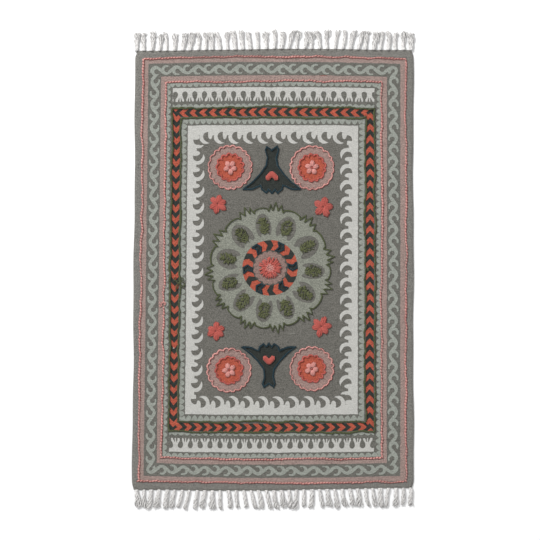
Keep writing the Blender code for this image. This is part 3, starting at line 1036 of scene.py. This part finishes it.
# %% Maps of the cloth: the pattern's coordinates, and a layout for baking
pattern_layer = bm.loops.layers.uv.new("pattern")
bake_layer = bm.loops.layers.uv.new("OFBake")
face_scale = 0.985 / (2.0 * cloth_half_length)
underside_scale = 0.94 * 0.36 / (2.0 * cloth_half_width)
side_strip_rows = (0.66, 0.72)
end_strip_rows = (0.80, 0.86)
for face in bm.faces:
    on_top = face.material_index == 0
    flat_below = not on_top and abs(face.normal.z) > 0.95
    at_end_edge = abs(face.normal.y) > abs(face.normal.x)
    rows = end_strip_rows if at_end_edge else side_strip_rows
    row = rows[1] if face.normal.x + face.normal.y > 0.0 else rows[0]
    for loop in face.loops:
        spot = loop.vert.co
        if on_top:
            loop[pattern_layer].uv = pattern_at(spot.x, spot.y)
            across = 0.004 + (spot.x + cloth_half_width + 0.008) * face_scale
            loop[bake_layer].uv = (across, 0.500 + spot.y * face_scale)
        elif flat_below:
            loop[bake_layer].uv = (0.815 + spot.x * underside_scale, 0.30 + spot.y * underside_scale)
        else:
            along = spot.x * 0.34 if at_end_edge else spot.y * 0.22
            loop[bake_layer].uv = (0.82 + along, row + spot.z * 10.0)
cloth = add_piece("printed_cloth", bm, [face_material, plain_material], ["cotton_cloth"])
print("cloth:", len(cloth.data.polygons), "faces")

# %% [markdown]
# ## Yarn shapes
# Every yarn is one of two shapes, made once and laid many times: a short plump stitch, stamped
# along a couched line at a slant so that the row looks like a twisted cord, and a tube that
# bends along a path, for satin stitches and fringe.


# %% Stitch and tube
def shape_arrays(bm):
    bm.verts.ensure_lookup_table()
    points = np.array([vert.co[:] for vert in bm.verts])
    faces = [[vert.index for vert in face.verts] for face in bm.faces]
    bm.free()
    return points, faces


def stitch_shape():
    bm = bmesh.new()
    bmesh.ops.create_uvsphere(bm, u_segments=8, v_segments=5, radius=0.5)
    bmesh.ops.rotate(bm, verts=bm.verts, cent=(0, 0, 0), matrix=Matrix.Rotation(math.pi / 2, 3, "Y"))
    bmesh.ops.recalc_face_normals(bm, faces=bm.faces)
    return shape_arrays(bm)


def tube_shape(rings, sides):
    """A closed tube along X from 0 to 1, its points kept with their ring's number in x."""
    bm = bmesh.new()
    bmesh.ops.create_circle(bm, cap_ends=True, segments=sides, radius=1.0)
    bmesh.ops.rotate(bm, verts=bm.verts, cent=(0, 0, 0), matrix=Matrix.Rotation(math.pi / 2, 3, "Y"))
    edges = list(next(iter(bm.faces)).edges)
    for _ in range(rings - 1):
        made = bmesh.ops.extrude_edge_only(bm, edges=edges)["geom"]
        verts = [item for item in made if isinstance(item, bmesh.types.BMVert)]
        edges = [item for item in made if isinstance(item, bmesh.types.BMEdge) and item.is_boundary]
        bmesh.ops.translate(bm, verts=verts, vec=(1.0 / (rings - 1), 0.0, 0.0))
    bmesh.ops.contextual_create(bm, geom=edges)
    bmesh.ops.recalc_face_normals(bm, faces=bm.faces)
    return shape_arrays(bm)


def mesh_of_copies(name, points, faces):
    """Joins many copies of one shape: points is copies by corners by 3."""
    copies, corners, _ = points.shape
    loops = np.concatenate([np.array(face) for face in faces])
    sizes = np.array([len(face) for face in faces])
    all_loops = (loops[None, :] + corners * np.arange(copies)[:, None]).ravel()
    all_sizes = np.tile(sizes, copies)
    mesh = bpy.data.meshes.new(name)
    mesh.vertices.add(copies * corners)
    mesh.vertices.foreach_set("co", points.astype(np.float32).ravel())
    mesh.loops.add(len(all_loops))
    mesh.loops.foreach_set("vertex_index", all_loops.astype(np.int32))
    mesh.polygons.add(len(all_sizes))
    starts = np.concatenate([[0], np.cumsum(all_sizes)[:-1]])
    mesh.polygons.foreach_set("loop_start", starts.astype(np.int32))
    mesh.polygons.foreach_set("use_smooth", np.ones(len(all_sizes), dtype=bool))
    mesh.update(calc_edges=True)
    mesh.validate()
    return mesh


def lay_stitches(name, frames):
    """frames is a list of (middle, along, across, up): one stitch each, the last three its sizes too."""
    points, faces = stitch_shape()
    frames = np.array([[tuple(part) for part in one] for one in frames])
    laid = (
        frames[:, None, 0]
        + points[None, :, 0:1] * frames[:, None, 1]
        + points[None, :, 1:2] * frames[:, None, 2]
        + points[None, :, 2:3] * frames[:, None, 3]
    )
    return mesh_of_copies(name, laid, faces)


def lay_tubes(name, paths, widths, sides=6):
    """paths is tubes by rings by 3, widths tubes by rings: bends one tube along each path."""
    paths = np.array(paths, dtype=float)
    widths = np.array(widths, dtype=float)
    rings = paths.shape[1]
    points, faces = tube_shape(rings, sides)
    ring_number = np.rint(points[:, 0] * (rings - 1)).astype(int)
    along = np.gradient(paths, axis=1)
    along /= np.linalg.norm(along, axis=2, keepdims=True)
    across = np.cross(np.array([0.0, 0.0, 1.0]), along)
    across /= np.linalg.norm(across, axis=2, keepdims=True) + 1e-12
    up = np.cross(along, across)
    radius = 0.5 * widths[:, ring_number, None]
    laid = (
        paths[:, ring_number]
        + across[:, ring_number] * points[None, :, 1:2] * radius
        + up[:, ring_number] * points[None, :, 2:3] * radius
    )
    return mesh_of_copies(name, laid, faces)


def walk(path, step):
    """Places and directions at even steps along a closed path."""
    closed = [Vector(p) for p in path] + [Vector(path[0])]
    lengths = [(b - a).length for a, b in zip(closed, closed[1:])]
    total = sum(lengths)
    count = max(8, round(total / step))
    stations = []
    stretch = 0
    start = 0.0
    for i in range(count):
        wanted = total * i / count
        while wanted > start + lengths[stretch] and stretch < len(lengths) - 1:
            start += lengths[stretch]
            stretch += 1
        here, there = closed[stretch : stretch + 2]
        stations.append((here.lerp(there, (wanted - start) / lengths[stretch]), (there - here).normalized()))
    return stations


def couch(path, chance, width, height, step, slant=0.42, wander=0.0003, keep=0.85, overlap=2.1):
    """Stitches along a closed path, each at a slant across it, like the plies of a cord."""
    frames = []
    drift = 0.0
    full = 0.0
    for spot, way in walk(path, step):
        side = quarter_turn(way)
        full = 0.88 * full + chance.uniform(-0.13, 0.13)
        drift = keep * drift + chance.uniform(-wander, wander)
        middle = spot + side * drift
        lean = slant + chance.uniform(-0.12, 0.12)
        along = (way * math.cos(lean) + side * math.sin(lean)) * step * overlap * chance.uniform(0.9, 1.1)
        across = (side * math.cos(lean) - way * math.sin(lean)) * width * 0.82 * (1.0 + full)
        tall = height * chance.uniform(0.88, 1.1)
        z = rise(middle.x, middle.y) + 0.36 * tall
        tilt = 0.35 * tall * chance.uniform(0.6, 1.2)
        frames.append(((*middle, z), (*along, tilt), (*across, 0.0), (0.0, 0.0, tall)))
    return frames


def thread_and_painted_shadow(frames):
    """A darker thread under a row of stitches: a real couching thread, and painted shadow where it is shifted
    to their lower right, away from the lamp.
    """
    under = []
    for middle, along, across, up in frames:
        # Shifted down and to the lower right, the side of the stitches that the upper-left lamp leaves in
        # shade: there the dark thread is painted shadow.
        spot = Vector(middle) + Vector((0.0007, -0.0007, -0.0004))
        under.append((spot, Vector(along) * 1.5, Vector(across) * 0.76, Vector(up) * 0.72))
    return under


print("yarn shapes ready")

# %% [markdown]
# ## Yarn colours
# Embroidery cotton is dyed in one colour, but its plies catch light and shade. The material
# darkens towards the cloth, where the yarn packs into its own shadow, and has fine fibres.


# %% Yarn materials
def yarn_material(name, lit, deep):
    material, tree, surface = principled(name, 0.85)
    surface.inputs["Sheen Weight"].default_value = 0.25
    surface.inputs["Sheen Roughness"].default_value = 0.5
    _, _, height = split_place(tree, place_on_rug(tree))
    lifted = calc("MULTIPLY", height - cloth_top_height - 0.0009, 1.0 / 0.0025, clamp=True)
    look, lift = use_group(tree, fibre_group)
    share = calc("ADD", lifted, (look - 0.5) * 0.9 + 0.08, clamp=True)
    colour = blend_colour(tree, (*paint(*deep), 1.0), (*paint(*lit), 1.0), share)
    tree.links.new(shaded(tree, colour, look, 0.72, 1.24).socket, surface.inputs["Base Color"])
    rough_surface(tree, surface, lift, 0.0004)
    return material


pink_yarn = yarn_material("pink_cotton", (206, 150, 143), (140, 74, 70))
# Dark red cotton for the thread under the pink yarn: a real thread colour, and also painted shadow on the
# yarn's lower right.
red_thread_and_shadow = yarn_material("dark_red_cotton_and_shadow", (142, 60, 56), (104, 38, 38))
green_yarn = yarn_material("green_cotton", (74, 80, 52), (24, 30, 16))
coral_yarn = yarn_material("coral_cotton", (176, 86, 77), (100, 26, 24))
light_pink_yarn = yarn_material("light_pink_cotton", (202, 140, 132), (146, 72, 64))
teal_yarn = yarn_material("teal_cotton", (22, 45, 53), (5, 12, 16))
olive_yarn = yarn_material("olive_cotton", (88, 92, 60), (24, 28, 15))
warp_yarn = yarn_material("warp_cotton_loose", (225, 223, 221), (173, 171, 169))
print("materials:", [m.name for m in bpy.data.materials])

# %% [markdown]
# ## Border lines
# Two pink and two green lines of thick yarn are laid on the cloth and caught down with small
# stitches. Each is a closed path, stamped with slanted stitches that wander a little. The
# pink lines have longer stitches, and a dark red thread shows between them. It is shifted to
# their lower right, away from the lamp, where it is partly painted shadow of the pink yarn.


# %% Border lines
def frame_path(half_size):
    half_width, half_length = half_size
    corners = [(-1, -1), (1, -1), (1, 1), (-1, 1)]
    path = []
    for i, corner in enumerate(corners):
        following = corners[(i + 1) % 4]
        length = 2.0 * (half_width if corner[1] == following[1] else half_length)
        steps = round(length / 0.030)
        for step in range(steps):
            share = step / steps
            u_new = half_width * (corner[0] + (following[0] - corner[0]) * share)
            v_new = half_length * (corner[1] + (following[1] - corner[1]) * share)
            path.append(place(u_new, v_new))
    return path


chance = random.Random(5)
for name, half_size, yarn, slot, width, step, overlap in (
    ("pink_line_outer", outer_frame, pink_yarn, "pink_yarn", 0.0062, 0.0096, 1.12),
    ("pink_line_inner", second_frame, pink_yarn, "pink_yarn", 0.0062, 0.0096, 1.12),
    ("green_line_outer", third_frame, green_yarn, "green_yarn", 0.0074, 0.0044, 1.9),
    ("green_line_inner", fourth_frame, green_yarn, "green_yarn", 0.0074, 0.0044, 1.9),
):
    path = frame_path(half_size)
    frames = couch(path, chance, width, 0.0042, step, slant=0.40, wander=0.0018, keep=0.80, overlap=overlap)
    add_piece(name + "_yarn", lay_stitches(name, frames), [yarn], [name])
    print(name, len(frames), "stitches")
    # Under the pink lines, a dark red thread that is partly a real thread and partly painted shadow on their
    # lower right.
    if yarn is pink_yarn:
        thread = lay_stitches(name + "_laid", thread_and_painted_shadow(frames))
        add_piece(name + "_thread_and_painted_shadow", thread, [red_thread_and_shadow], [])

# %% [markdown]
# ## Loose threads and a mend
# Handwork leaves traces: two tangles of yarn ends that were never trimmed, and one place
# where the green line was mended with three crossed stitches. A tangle is a few thin tubes,
# each along a short random walk that stays near its centre.


# %% Loose threads and a mend
def loose_threads(name, centre, reach, count, thickness, yarn, chance):
    """Yarn ends that were left long and lie in loops on the cloth."""
    points = 12
    paths = []
    for _ in range(count):
        spot = centre + Vector((chance.uniform(-0.4, 0.4) * reach[0], chance.uniform(-0.4, 0.4) * reach[1]))
        turn = chance.uniform(0.0, 2.0 * math.pi)
        path = []
        for step in range(points):
            turn += chance.uniform(-0.9, 0.9)
            spot = spot + 0.0032 * towards(turn)
            spot.x = min(max(spot.x, centre.x - reach[0]), centre.x + reach[0])
            spot.y = min(max(spot.y, centre.y - reach[1]), centre.y + reach[1])
            lift = 0.0012 + 0.0022 * abs(math.sin(0.9 * step + count))
            path.append((spot.x, spot.y, cloth_top_height + lift))
        paths.append(path)
    add_piece(name, lay_tubes(name, paths, [[thickness] * points] * count), [yarn], [])


chance = random.Random(41)
green_tangle_place = Vector((-0.3070, -0.0455))
pink_tangle_place = Vector((-0.3600, -0.1130))
loose_threads(
    "green_tangle", green_tangle_place, (0.0170, 0.0195), 10, 0.0021, green_yarn, chance
)
loose_threads("pink_tangle", pink_tangle_place, (0.0115, 0.0070), 5, 0.0022, pink_yarn, chance)
mend_place = (0.3078, 0.0006, cloth_top_height + 0.0012)
mend = []
for lean in (0.75, -0.75, 0.0):
    way = Vector((math.sin(lean), math.cos(lean))) * 0.0150
    wide = quarter_turn(way) * 0.20
    mend.append((mend_place, (*way, 0.0), (*wide, 0.0), (0.0, 0.0, 0.0030)))
add_piece("olive_mend", lay_stitches("olive_mend", mend), [olive_yarn], [])

# %% [markdown]
# ## Rosettes
# Each rosette has a scalloped ring of pink yarn, a smaller one of coral yarn and a small light
# pink flower of satin stitch. A petal is a fan of tubes that rise out of the cloth near the
# middle and dip back into it at the petal's rim.


# %% Petals
satin_yarn = 0.0038
petal_lift = 0.0038


def satin_petal(middle, heading, length, width, strands, chance, start):
    """Side-by-side strands from near the flower's middle out to a rounded rim."""
    along = towards(heading)
    across = quarter_turn(along)
    paths = []
    widths = []
    for i in range(strands):
        share = (i + 0.5) / strands * 2.0 - 1.0
        reach = length * (1.0 - 0.24 * share * share) * chance.uniform(0.95, 1.04)
        path = []
        thick = []
        for step in range(7):
            t = step / 6.0
            run = start * length + (reach - start * length) * t
            spread = 0.5 * (width - satin_yarn) * share * math.sin(math.pi * (0.14 + 0.46 * t))
            spot = middle + along * run + across * spread
            lift = math.sin(math.pi * min(1.0, 0.10 + 0.82 * t)) ** 0.6 * (1.0 - 0.42 * share * share)
            z = rise(spot.x, spot.y) - 0.0008 + petal_lift * lift + 0.0009 * (i % 2)
            path.append((spot.x, spot.y, z))
            thick.append(satin_yarn * (0.72 + 0.38 * math.sin(math.pi * min(1.0, 0.1 + 0.86 * t))))
        paths.append(path)
        widths.append(thick)
    return paths, widths


def flower(middle, petals, length, width, strands, turn, chance, start, uneven=0.06):
    paths = []
    widths = []
    for i in range(petals):
        heading = turn + 2.0 * math.pi * i / petals + chance.uniform(-uneven, uneven)
        size = length * chance.uniform(1.0 - uneven, 1.0 + uneven)
        more, thick = satin_petal(middle, heading, size, width, strands, chance, start)
        paths += more
        widths += thick
    return paths, widths


def scalloped_ring(middle, radius, swell, lobes, chance):
    """A ring of uneven round lobes that meet in small notches."""
    steps = 10
    cuts = [2.0 * math.pi * (i + chance.uniform(-0.18, 0.18)) / lobes for i in range(lobes)]
    cuts.append(cuts[0] + 2.0 * math.pi)
    path = []
    for start, end in zip(cuts, cuts[1:]):
        size = swell * chance.uniform(0.6, 1.4) * 2.4
        for i in range(steps):
            share = i / steps
            turn = start + (end - start) * share
            reach = radius + size * (math.sin(math.pi * share) - 0.62)
            path.append(middle + reach * towards(turn))
    return path


# %% Rosettes
chance = random.Random(17)
outer_ring_radius = 0.0700
inner_ring_radius = 0.0430
rosette_turns = (-0.27, 0.25, 0.62, 1.12)
for number, (place_u, place_v) in enumerate(rosette_places, start=1):
    middle = place(place_u, place_v)
    name = f"rosette_{number}"
    ring = scalloped_ring(middle, outer_ring_radius, 0.0021, 20, chance)
    frames = couch(ring, chance, width=0.0056, height=0.0040, step=0.0054, overlap=1.35)
    # Dark red thread under the outer ring: partly a real thread, partly painted shadow on its lower right.
    thread = lay_stitches(name + "_laid", thread_and_painted_shadow(frames))
    add_piece(name + "_thread_and_painted_shadow", thread, [red_thread_and_shadow], [])
    stitches = lay_stitches(name, frames)
    add_piece(name + "_outer_yarn", stitches, [pink_yarn], [name + "_outer_ring"])
    ring = scalloped_ring(middle, inner_ring_radius, 0.0026, 13, chance)
    stitches = lay_stitches(name, couch(ring, chance, width=0.0060, height=0.0042, step=0.0048))
    add_piece(name + "_inner_yarn", stitches, [coral_yarn], [name + "_inner_ring"])
    turn = rosette_turns[number - 1]
    paths, widths = flower(middle, 5, 0.0228, 0.0190, strands=5, turn=turn, chance=chance, start=0.20)
    petals = lay_tubes(name, paths, widths)
    add_piece(name + "_satin", petals, [light_pink_yarn], [name + "_flower"])
    knots = []
    for way in (0.4, 2.5, 4.6):
        spot = middle + 0.0019 * towards(way)
        sizes = ((0.0048, 0.0012, 0.0), (-0.0009, 0.0036, 0.0), (0.0, 0.0, 0.0034))
        knots.append(((spot.x, spot.y, cloth_top_height + 0.0022), *sizes))
    add_piece(name + "_knot", lay_stitches(name + "_knot", knots), [coral_yarn], [])
print("rosettes:", len(rosette_places))

# %% [markdown]
# ## Coral flowers
# Four larger coral flowers stand alone in the field. They are made like the small ones, but
# each has its own size and turn, and three have six petals.

# %% Coral flowers
coral_flower_turns = (0.38, 0.10, 0.52, 0.20)
for number, (place_u, place_v, petals, radius) in enumerate(coral_flowers, start=1):
    middle = place(place_u, place_v)
    name = f"coral_flower_{number}"
    turn = coral_flower_turns[number - 1]
    width = 0.0222 if petals == 6 else 0.0262
    reach = radius + 0.0026
    paths, widths = flower(
        middle, petals, reach, width, strands=6, turn=turn, chance=chance, start=0.05, uneven=0.1
    )
    add_piece(name + "_satin", lay_tubes(name, paths, widths), [coral_yarn], [name])
print("coral flowers:", len(coral_flowers))

# %% [markdown]
# ## Medallion yarn
# A green cord follows the medallion's edge, round each petal and up and down the points of
# each crown. It is stamped like the border lines, thicker round the petals than on the crowns.


# %% Medallion edge
def medallion_path():
    arc_share = 1.0 - 2.0 * crown_half_share
    path = []
    for index in range(len(crown_angles)):
        stations = []
        for share in (0.06, 0.12, 0.21, 0.30, 0.40, 0.50, 0.60, 0.70, 0.79, 0.88, 0.94):
            up_by = petal_rise * math.sin(math.pi * share) ** 0.6
            stations.append((crown_half_share + arc_share * share, up_by))
        for share, up_by in crown_points:
            stations.append((share * crown_half_share, up_by))
            if share > 0.0:
                stations.append((1.0 - share * crown_half_share, up_by))
        for share, up_by in sorted(stations):
            turn = crown_turn(index, share)
            reach = medallion_edge + up_by
            path.append(medallion_middle + reach * towards(turn))
    return path


chance = random.Random(29)
crown_from = medallion_edge + 0.0072
edge_cord = couch(medallion_path(), chance, width=0.0048, height=0.0040, step=0.0034, slant=0.40)
frames = []
for middle, along, across, up in edge_cord:
    if (Vector(middle[:2]) - medallion_middle).length < crown_from:
        across = tuple(1.25 * a for a in across)
    else:
        along = tuple(0.8 * a for a in along)
    frames.append((middle, along, across, up))
medallion_yarn = lay_stitches("medallion_edge", frames)
add_piece("medallion_edge_yarn", medallion_yarn, [green_yarn], ["medallion_edge"])
print("medallion edge:", len(frames), "stitches")

# %% [markdown]
# ## Leaves
# In each of the eleven petals lies an olive leaf, a ragged oval of short stitches that slant
# out to both sides. Piled at random heights, they catch light and shade as yarn does.


# %% Leaves
leaf_stitches = 84
leaf_half_length = 0.0245
leaf_half_width = 0.0178


def leaf(middle, heading, chance):
    """Short stitches that slant out to both sides, piled up into a ragged oval."""
    along = towards(heading)
    across = quarter_turn(along)
    frames = []
    for index in range(leaf_stitches):
        share = (index + 0.5) / leaf_stitches * 2.0 - 1.0
        side = 1.0 if index % 2 else -1.0
        half = leaf_half_width * math.sqrt(1.0 - share * share) ** 0.7 * chance.uniform(0.75, 1.12)
        out = half * chance.uniform(0.05, 1.0)
        run = share * leaf_half_length + chance.uniform(-0.0025, 0.0025)
        spot = middle + along * run + across * side * out
        lean = side * math.radians(chance.uniform(28.0, 88.0))
        length = 0.0105 * chance.uniform(0.75, 1.25)
        way = along * math.cos(lean) + across * math.sin(lean)
        wide = quarter_turn(way) * 0.0034 * chance.uniform(0.85, 1.2)
        tall = 0.0030 * chance.uniform(0.9, 1.15)
        z = rise(spot.x, spot.y) + 0.0008 + 0.0021 * chance.uniform(0.0, 1.0) * (1.0 - 0.4 * out / 0.018)
        tilt = chance.uniform(-0.0014, 0.0004)
        frames.append(((spot.x, spot.y, z), (*(way * length), tilt), (*wide, 0.0), (0.0, 0.0, tall)))
    return frames


for index in range(len(crown_angles)):
    heading = crown_turn(index, 0.5)
    spot = medallion_middle + leaf_distance * towards(heading)
    name = f"leaf_{index + 1:02d}"
    stitches = lay_stitches(name, leaf(spot, heading, chance))
    add_piece(name + "_satin", stitches, [olive_yarn], [name])
print("leaves:", len(crown_angles), "of", leaf_stitches, "stitches")

# %% [markdown]
# ## Ring arrows
# The ring round the centre is a row of arrows bent into a circle. Every second dark one is
# outlined in teal chain stitch, along the six corners of its arrow.


# %% Ring arrows
def arrow_path(middle, heading, inset):
    half_step = math.pi / (2 * ring_arrows)
    inner = ring_inner + inset
    outer = ring_outer - inset
    back = heading + 0.42 * half_step
    front = heading - 0.42 * half_step
    lead = 0.42 * half_step
    centre_radius = 0.5 * (inner + outer)
    stations = (
        (inner, back),
        (inner, front),
        (centre_radius, front - lead),
        (outer, front),
        (outer, back),
        (centre_radius, back - lead),
    )
    return [middle + r * towards(a) for r, a in stations]


for index in range(ring_arrows):
    heading = ring_turn + 2.0 * math.pi * index / ring_arrows
    corners = arrow_path(medallion_middle, heading, 0.0026)
    frames = couch(corners, chance, width=0.0056, height=0.0038, step=0.0042, slant=0.45, wander=0.0002)
    name = f"ring_arrow_{index + 1}"
    add_piece(name + "_yarn", lay_stitches(name, frames), [teal_yarn], [name])

# %% [markdown]
# ## Centre flower
# Loops of coral yarn stand out from the middle in five rings of different reach, each turned
# by the golden angle from the one before, so that they fill the circle without rows. Light
# pink knots cover the loops' roots.

# %% Centre flower
golden_turn = 2.399963
loop_reaches = (0.0370, 0.0360, 0.0280, 0.0375, 0.0210)
loop_starts = (0.0150, 0.0180, 0.0110, 0.0200, 0.0080)
paths = []
widths = []
for index in range(92):
    heading = golden_turn * index
    reach = loop_reaches[index % 5] * chance.uniform(0.88, 1.04)
    start = loop_starts[index % 5]
    bend = chance.uniform(-0.16, 0.16)
    high = 0.0044 * chance.uniform(0.75, 1.3)
    path = []
    thick = []
    for step in range(6):
        t = step / 5.0
        way = heading + bend * t
        spot = medallion_middle + (start + (reach - start) * t) * towards(way)
        z = rise(spot.x, spot.y) - 0.0006 + high * math.sin(math.pi * (0.22 + 0.70 * t)) ** 0.7
        path.append((spot.x, spot.y, z))
        thick.append(0.0040 * (0.80 + 0.28 * math.sin(math.pi * t)))
    paths.append(path)
    widths.append(thick)
loops = lay_tubes("centre_flower", paths, widths)
add_piece("centre_flower_satin", loops, [coral_yarn], ["centre_flower"])

knots = []
for index in range(34):
    way = 2.4 * index
    reach = 0.0026 * math.sqrt(index + 0.4)
    spot = medallion_middle + reach * towards(way)
    size = 0.0050 * chance.uniform(0.7, 1.15)
    z = cloth_top_height + 0.0050 - 6.0 * reach * reach
    turn = way + chance.uniform(-0.7, 0.7)
    along = Vector((math.cos(turn), math.sin(turn), 0.0)) * size * 1.7
    across = Vector((-math.sin(turn), math.cos(turn), 0.0)) * size * 0.6
    knots.append(((spot.x, spot.y, z), along, across, (0.0, 0.0, size * 0.7)))
add_piece("centre_knots", lay_stitches("centre_knots", knots), [light_pink_yarn], [])
print("centre flower:", len(paths), "loops and", len(knots), "knots")

# %% [markdown]
# ## Forked figures
# The two dark figures are outlined in teal cord and carry a coral heart of upright stitches.
# The outline is the printed figure's own half outline and its mirror image. A heart is a row
# of strands, each between the heart's rounded side and its notched side.


# %% Figures and hearts
def figure_path(middle, scale):
    half = [Vector(p) for p in figure_half_outline]
    mirrored = [Vector((-p.x, p.y)) for p in half[-2:0:-1]]
    return [middle + Vector((p.x * abs(scale), p.y * scale)) for p in half + mirrored]


def heart(middle, scale, chance):
    """Upright strands side by side, each between the heart's rounded side and its notched one."""
    paths = []
    widths = []
    strands = 10
    for i in range(strands):
        share = (i + 0.5) / strands * 2.0 - 1.0
        top = 1.02 - 1.55 * max(0.0, abs(share) - 0.22) ** 1.15
        low = -0.30 - 0.76 * min(1.0, abs(share) / 0.50) + 0.60 * max(0.0, abs(share) - 0.70)
        path = []
        thick = []
        for step in range(6):
            t = step / 5.0
            out = (top + (low - top) * t) * heart_half_size[1] * scale
            spot = middle + Vector((share * heart_half_size[0] * abs(scale), out))
            z = rise(spot.x, spot.y) - 0.0002 + 0.0036 * math.sin(math.pi * (0.10 + 0.82 * t)) ** 0.6
            path.append((spot.x, spot.y, z))
            thick.append(0.0046 * (0.85 + 0.22 * math.sin(math.pi * t)) * chance.uniform(0.95, 1.05))
        paths.append(path)
        widths.append(thick)
    return paths, widths


for name, (place_u, place_v, scale), drop in zip(("top", "bottom"), figure_places, heart_drops):
    middle = place(place_u, place_v)
    frames = couch(figure_path(middle, scale), chance, width=0.0074, height=0.0042, step=0.0050)
    outline = lay_stitches(f"figure_{name}", frames)
    add_piece(f"figure_{name}_yarn", outline, [teal_yarn], [f"figure_edge_{name}"])
    spot = middle - Vector((0.0, math.copysign(drop, scale)))
    strands = lay_tubes(f"heart_{name}", *heart(spot, scale, chance))
    add_piece(f"heart_{name}_satin", strands, [coral_yarn], [f"heart_{name}"])
print("figures done")

# %% [markdown]
# ## Fringe
# At both ends the warp threads leave the cloth in small locks. Each lock is a bundle of thin
# yarns that starts tight at the edge, swings a little to one side and opens at its tip.

# %% Fringe
fringe_locks = 37
fringe_length = 0.0600
lock_width = 0.0150


def fringe_plan(seed):
    chance = random.Random(seed)
    spread = cloth_half_width - 0.0085
    pitch = 2.0 * spread / (fringe_locks - 1)
    locks = []
    drift = 0.0
    free_from = -1.0
    for i in range(fringe_locks):
        root = -spread + i * pitch + chance.uniform(-0.0015, 0.0015) * (0 < i < fringe_locks - 1)
        drift = 0.6 * drift + chance.uniform(-0.0090, 0.0090)
        width = lock_width * chance.uniform(0.76, 1.18)
        splay = chance.uniform(0.0012, 0.0032)
        reach = 0.42 * width + splay
        tip = max(root + drift, free_from + reach)
        free_from = tip + reach + 0.0010
        bend = chance.uniform(-0.0025, 0.0025)
        length = fringe_length * chance.uniform(0.93, 1.07)
        locks.append((root, tip - root, bend, width, length, splay))
    return locks


def lock_of_yarn(end, lock, chance):
    """Soft yarns that twist round the lock's middle line and open out at its tip."""
    root, run, bend, width, length, splay = lock
    strands = round(width / lock_width * 10)
    yarn = 0.0032
    start = cloth_end_y(root, end) - end * 0.0012
    first_turn = chance.uniform(0.0, 6.28)
    twist = chance.uniform(5.0, 8.0)
    part = chance.choice((0.0, 0.0, 0.004, 0.008))
    part_from = chance.uniform(0.15, 0.5)
    curl = chance.choice((0.0, 0.0, -0.005, 0.005))
    paths = []
    widths = []
    for i in range(strands):
        own_turn = first_turn + 2.0 * math.pi * i / strands
        ring = 1.0 if i % 3 else 0.45
        phase = chance.uniform(0.0, 6.28)
        own_length = length * chance.uniform(0.90, 1.03)
        own_side = 1.0 if i % 2 else -1.0
        path = []
        thick = []
        for step in range(14):
            t = step / 13.0
            centre = root + run * t + bend * math.sin(math.pi * t) + curl * t ** 5
            centre += own_side * part * max(0.0, t - part_from) * (1.0 if t < 0.9 else 0.8)
            turn = own_turn + twist * t
            open_up = 1.0 + (0.15 + splay / 0.006) * max(0.0, t - 0.5)
            fullness = 0.66 + 0.26 * math.sin(math.pi * min(1.0, t * 1.6) / 2)
            spread = 0.5 * (width - yarn) * fullness * open_up
            x_new = centre + ring * spread * math.cos(turn) + 0.0006 * math.sin(phase + 9.0 * t)
            y_new = start + end * own_length * t
            lifted = 0.5 * yarn + 0.0002 + 0.0022 * (1.0 + ring * math.sin(turn)) * (1.0 - 0.35 * t)
            path.append((x_new, y_new, lifted))
            thick.append(yarn * (1.0 - 0.18 * t) * (1.0 + 0.12 * math.sin(phase + 30.0 * t)))
        paths.append(path)
        widths.append(thick)
    return paths, widths


for name, end, seed in (("fringe_top", 1, 11), ("fringe_bottom", -1, 23)):
    chance = random.Random(seed + 100)
    paths = []
    widths = []
    for lock in fringe_plan(seed):
        more, thick = lock_of_yarn(end, lock, chance)
        paths += more
        widths += thick
    piece = add_piece(name + "_yarn", lay_tubes(name, paths, widths), [warp_yarn], [name])
    print(name, len(paths), "yarns,", len(piece.data.polygons), "faces")

# %% [markdown]
# ## Sizes at the end
# The box before and after dressing is printed, so that the two can be compared.

# %% Finish
dressed_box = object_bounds()
sizes = {
    "cad": [[float(a) for a in corner] for corner in cad_box],
    "dressed": [[float(a) for a in corner] for corner in dressed_box],
}
print("sizes:", sizes)
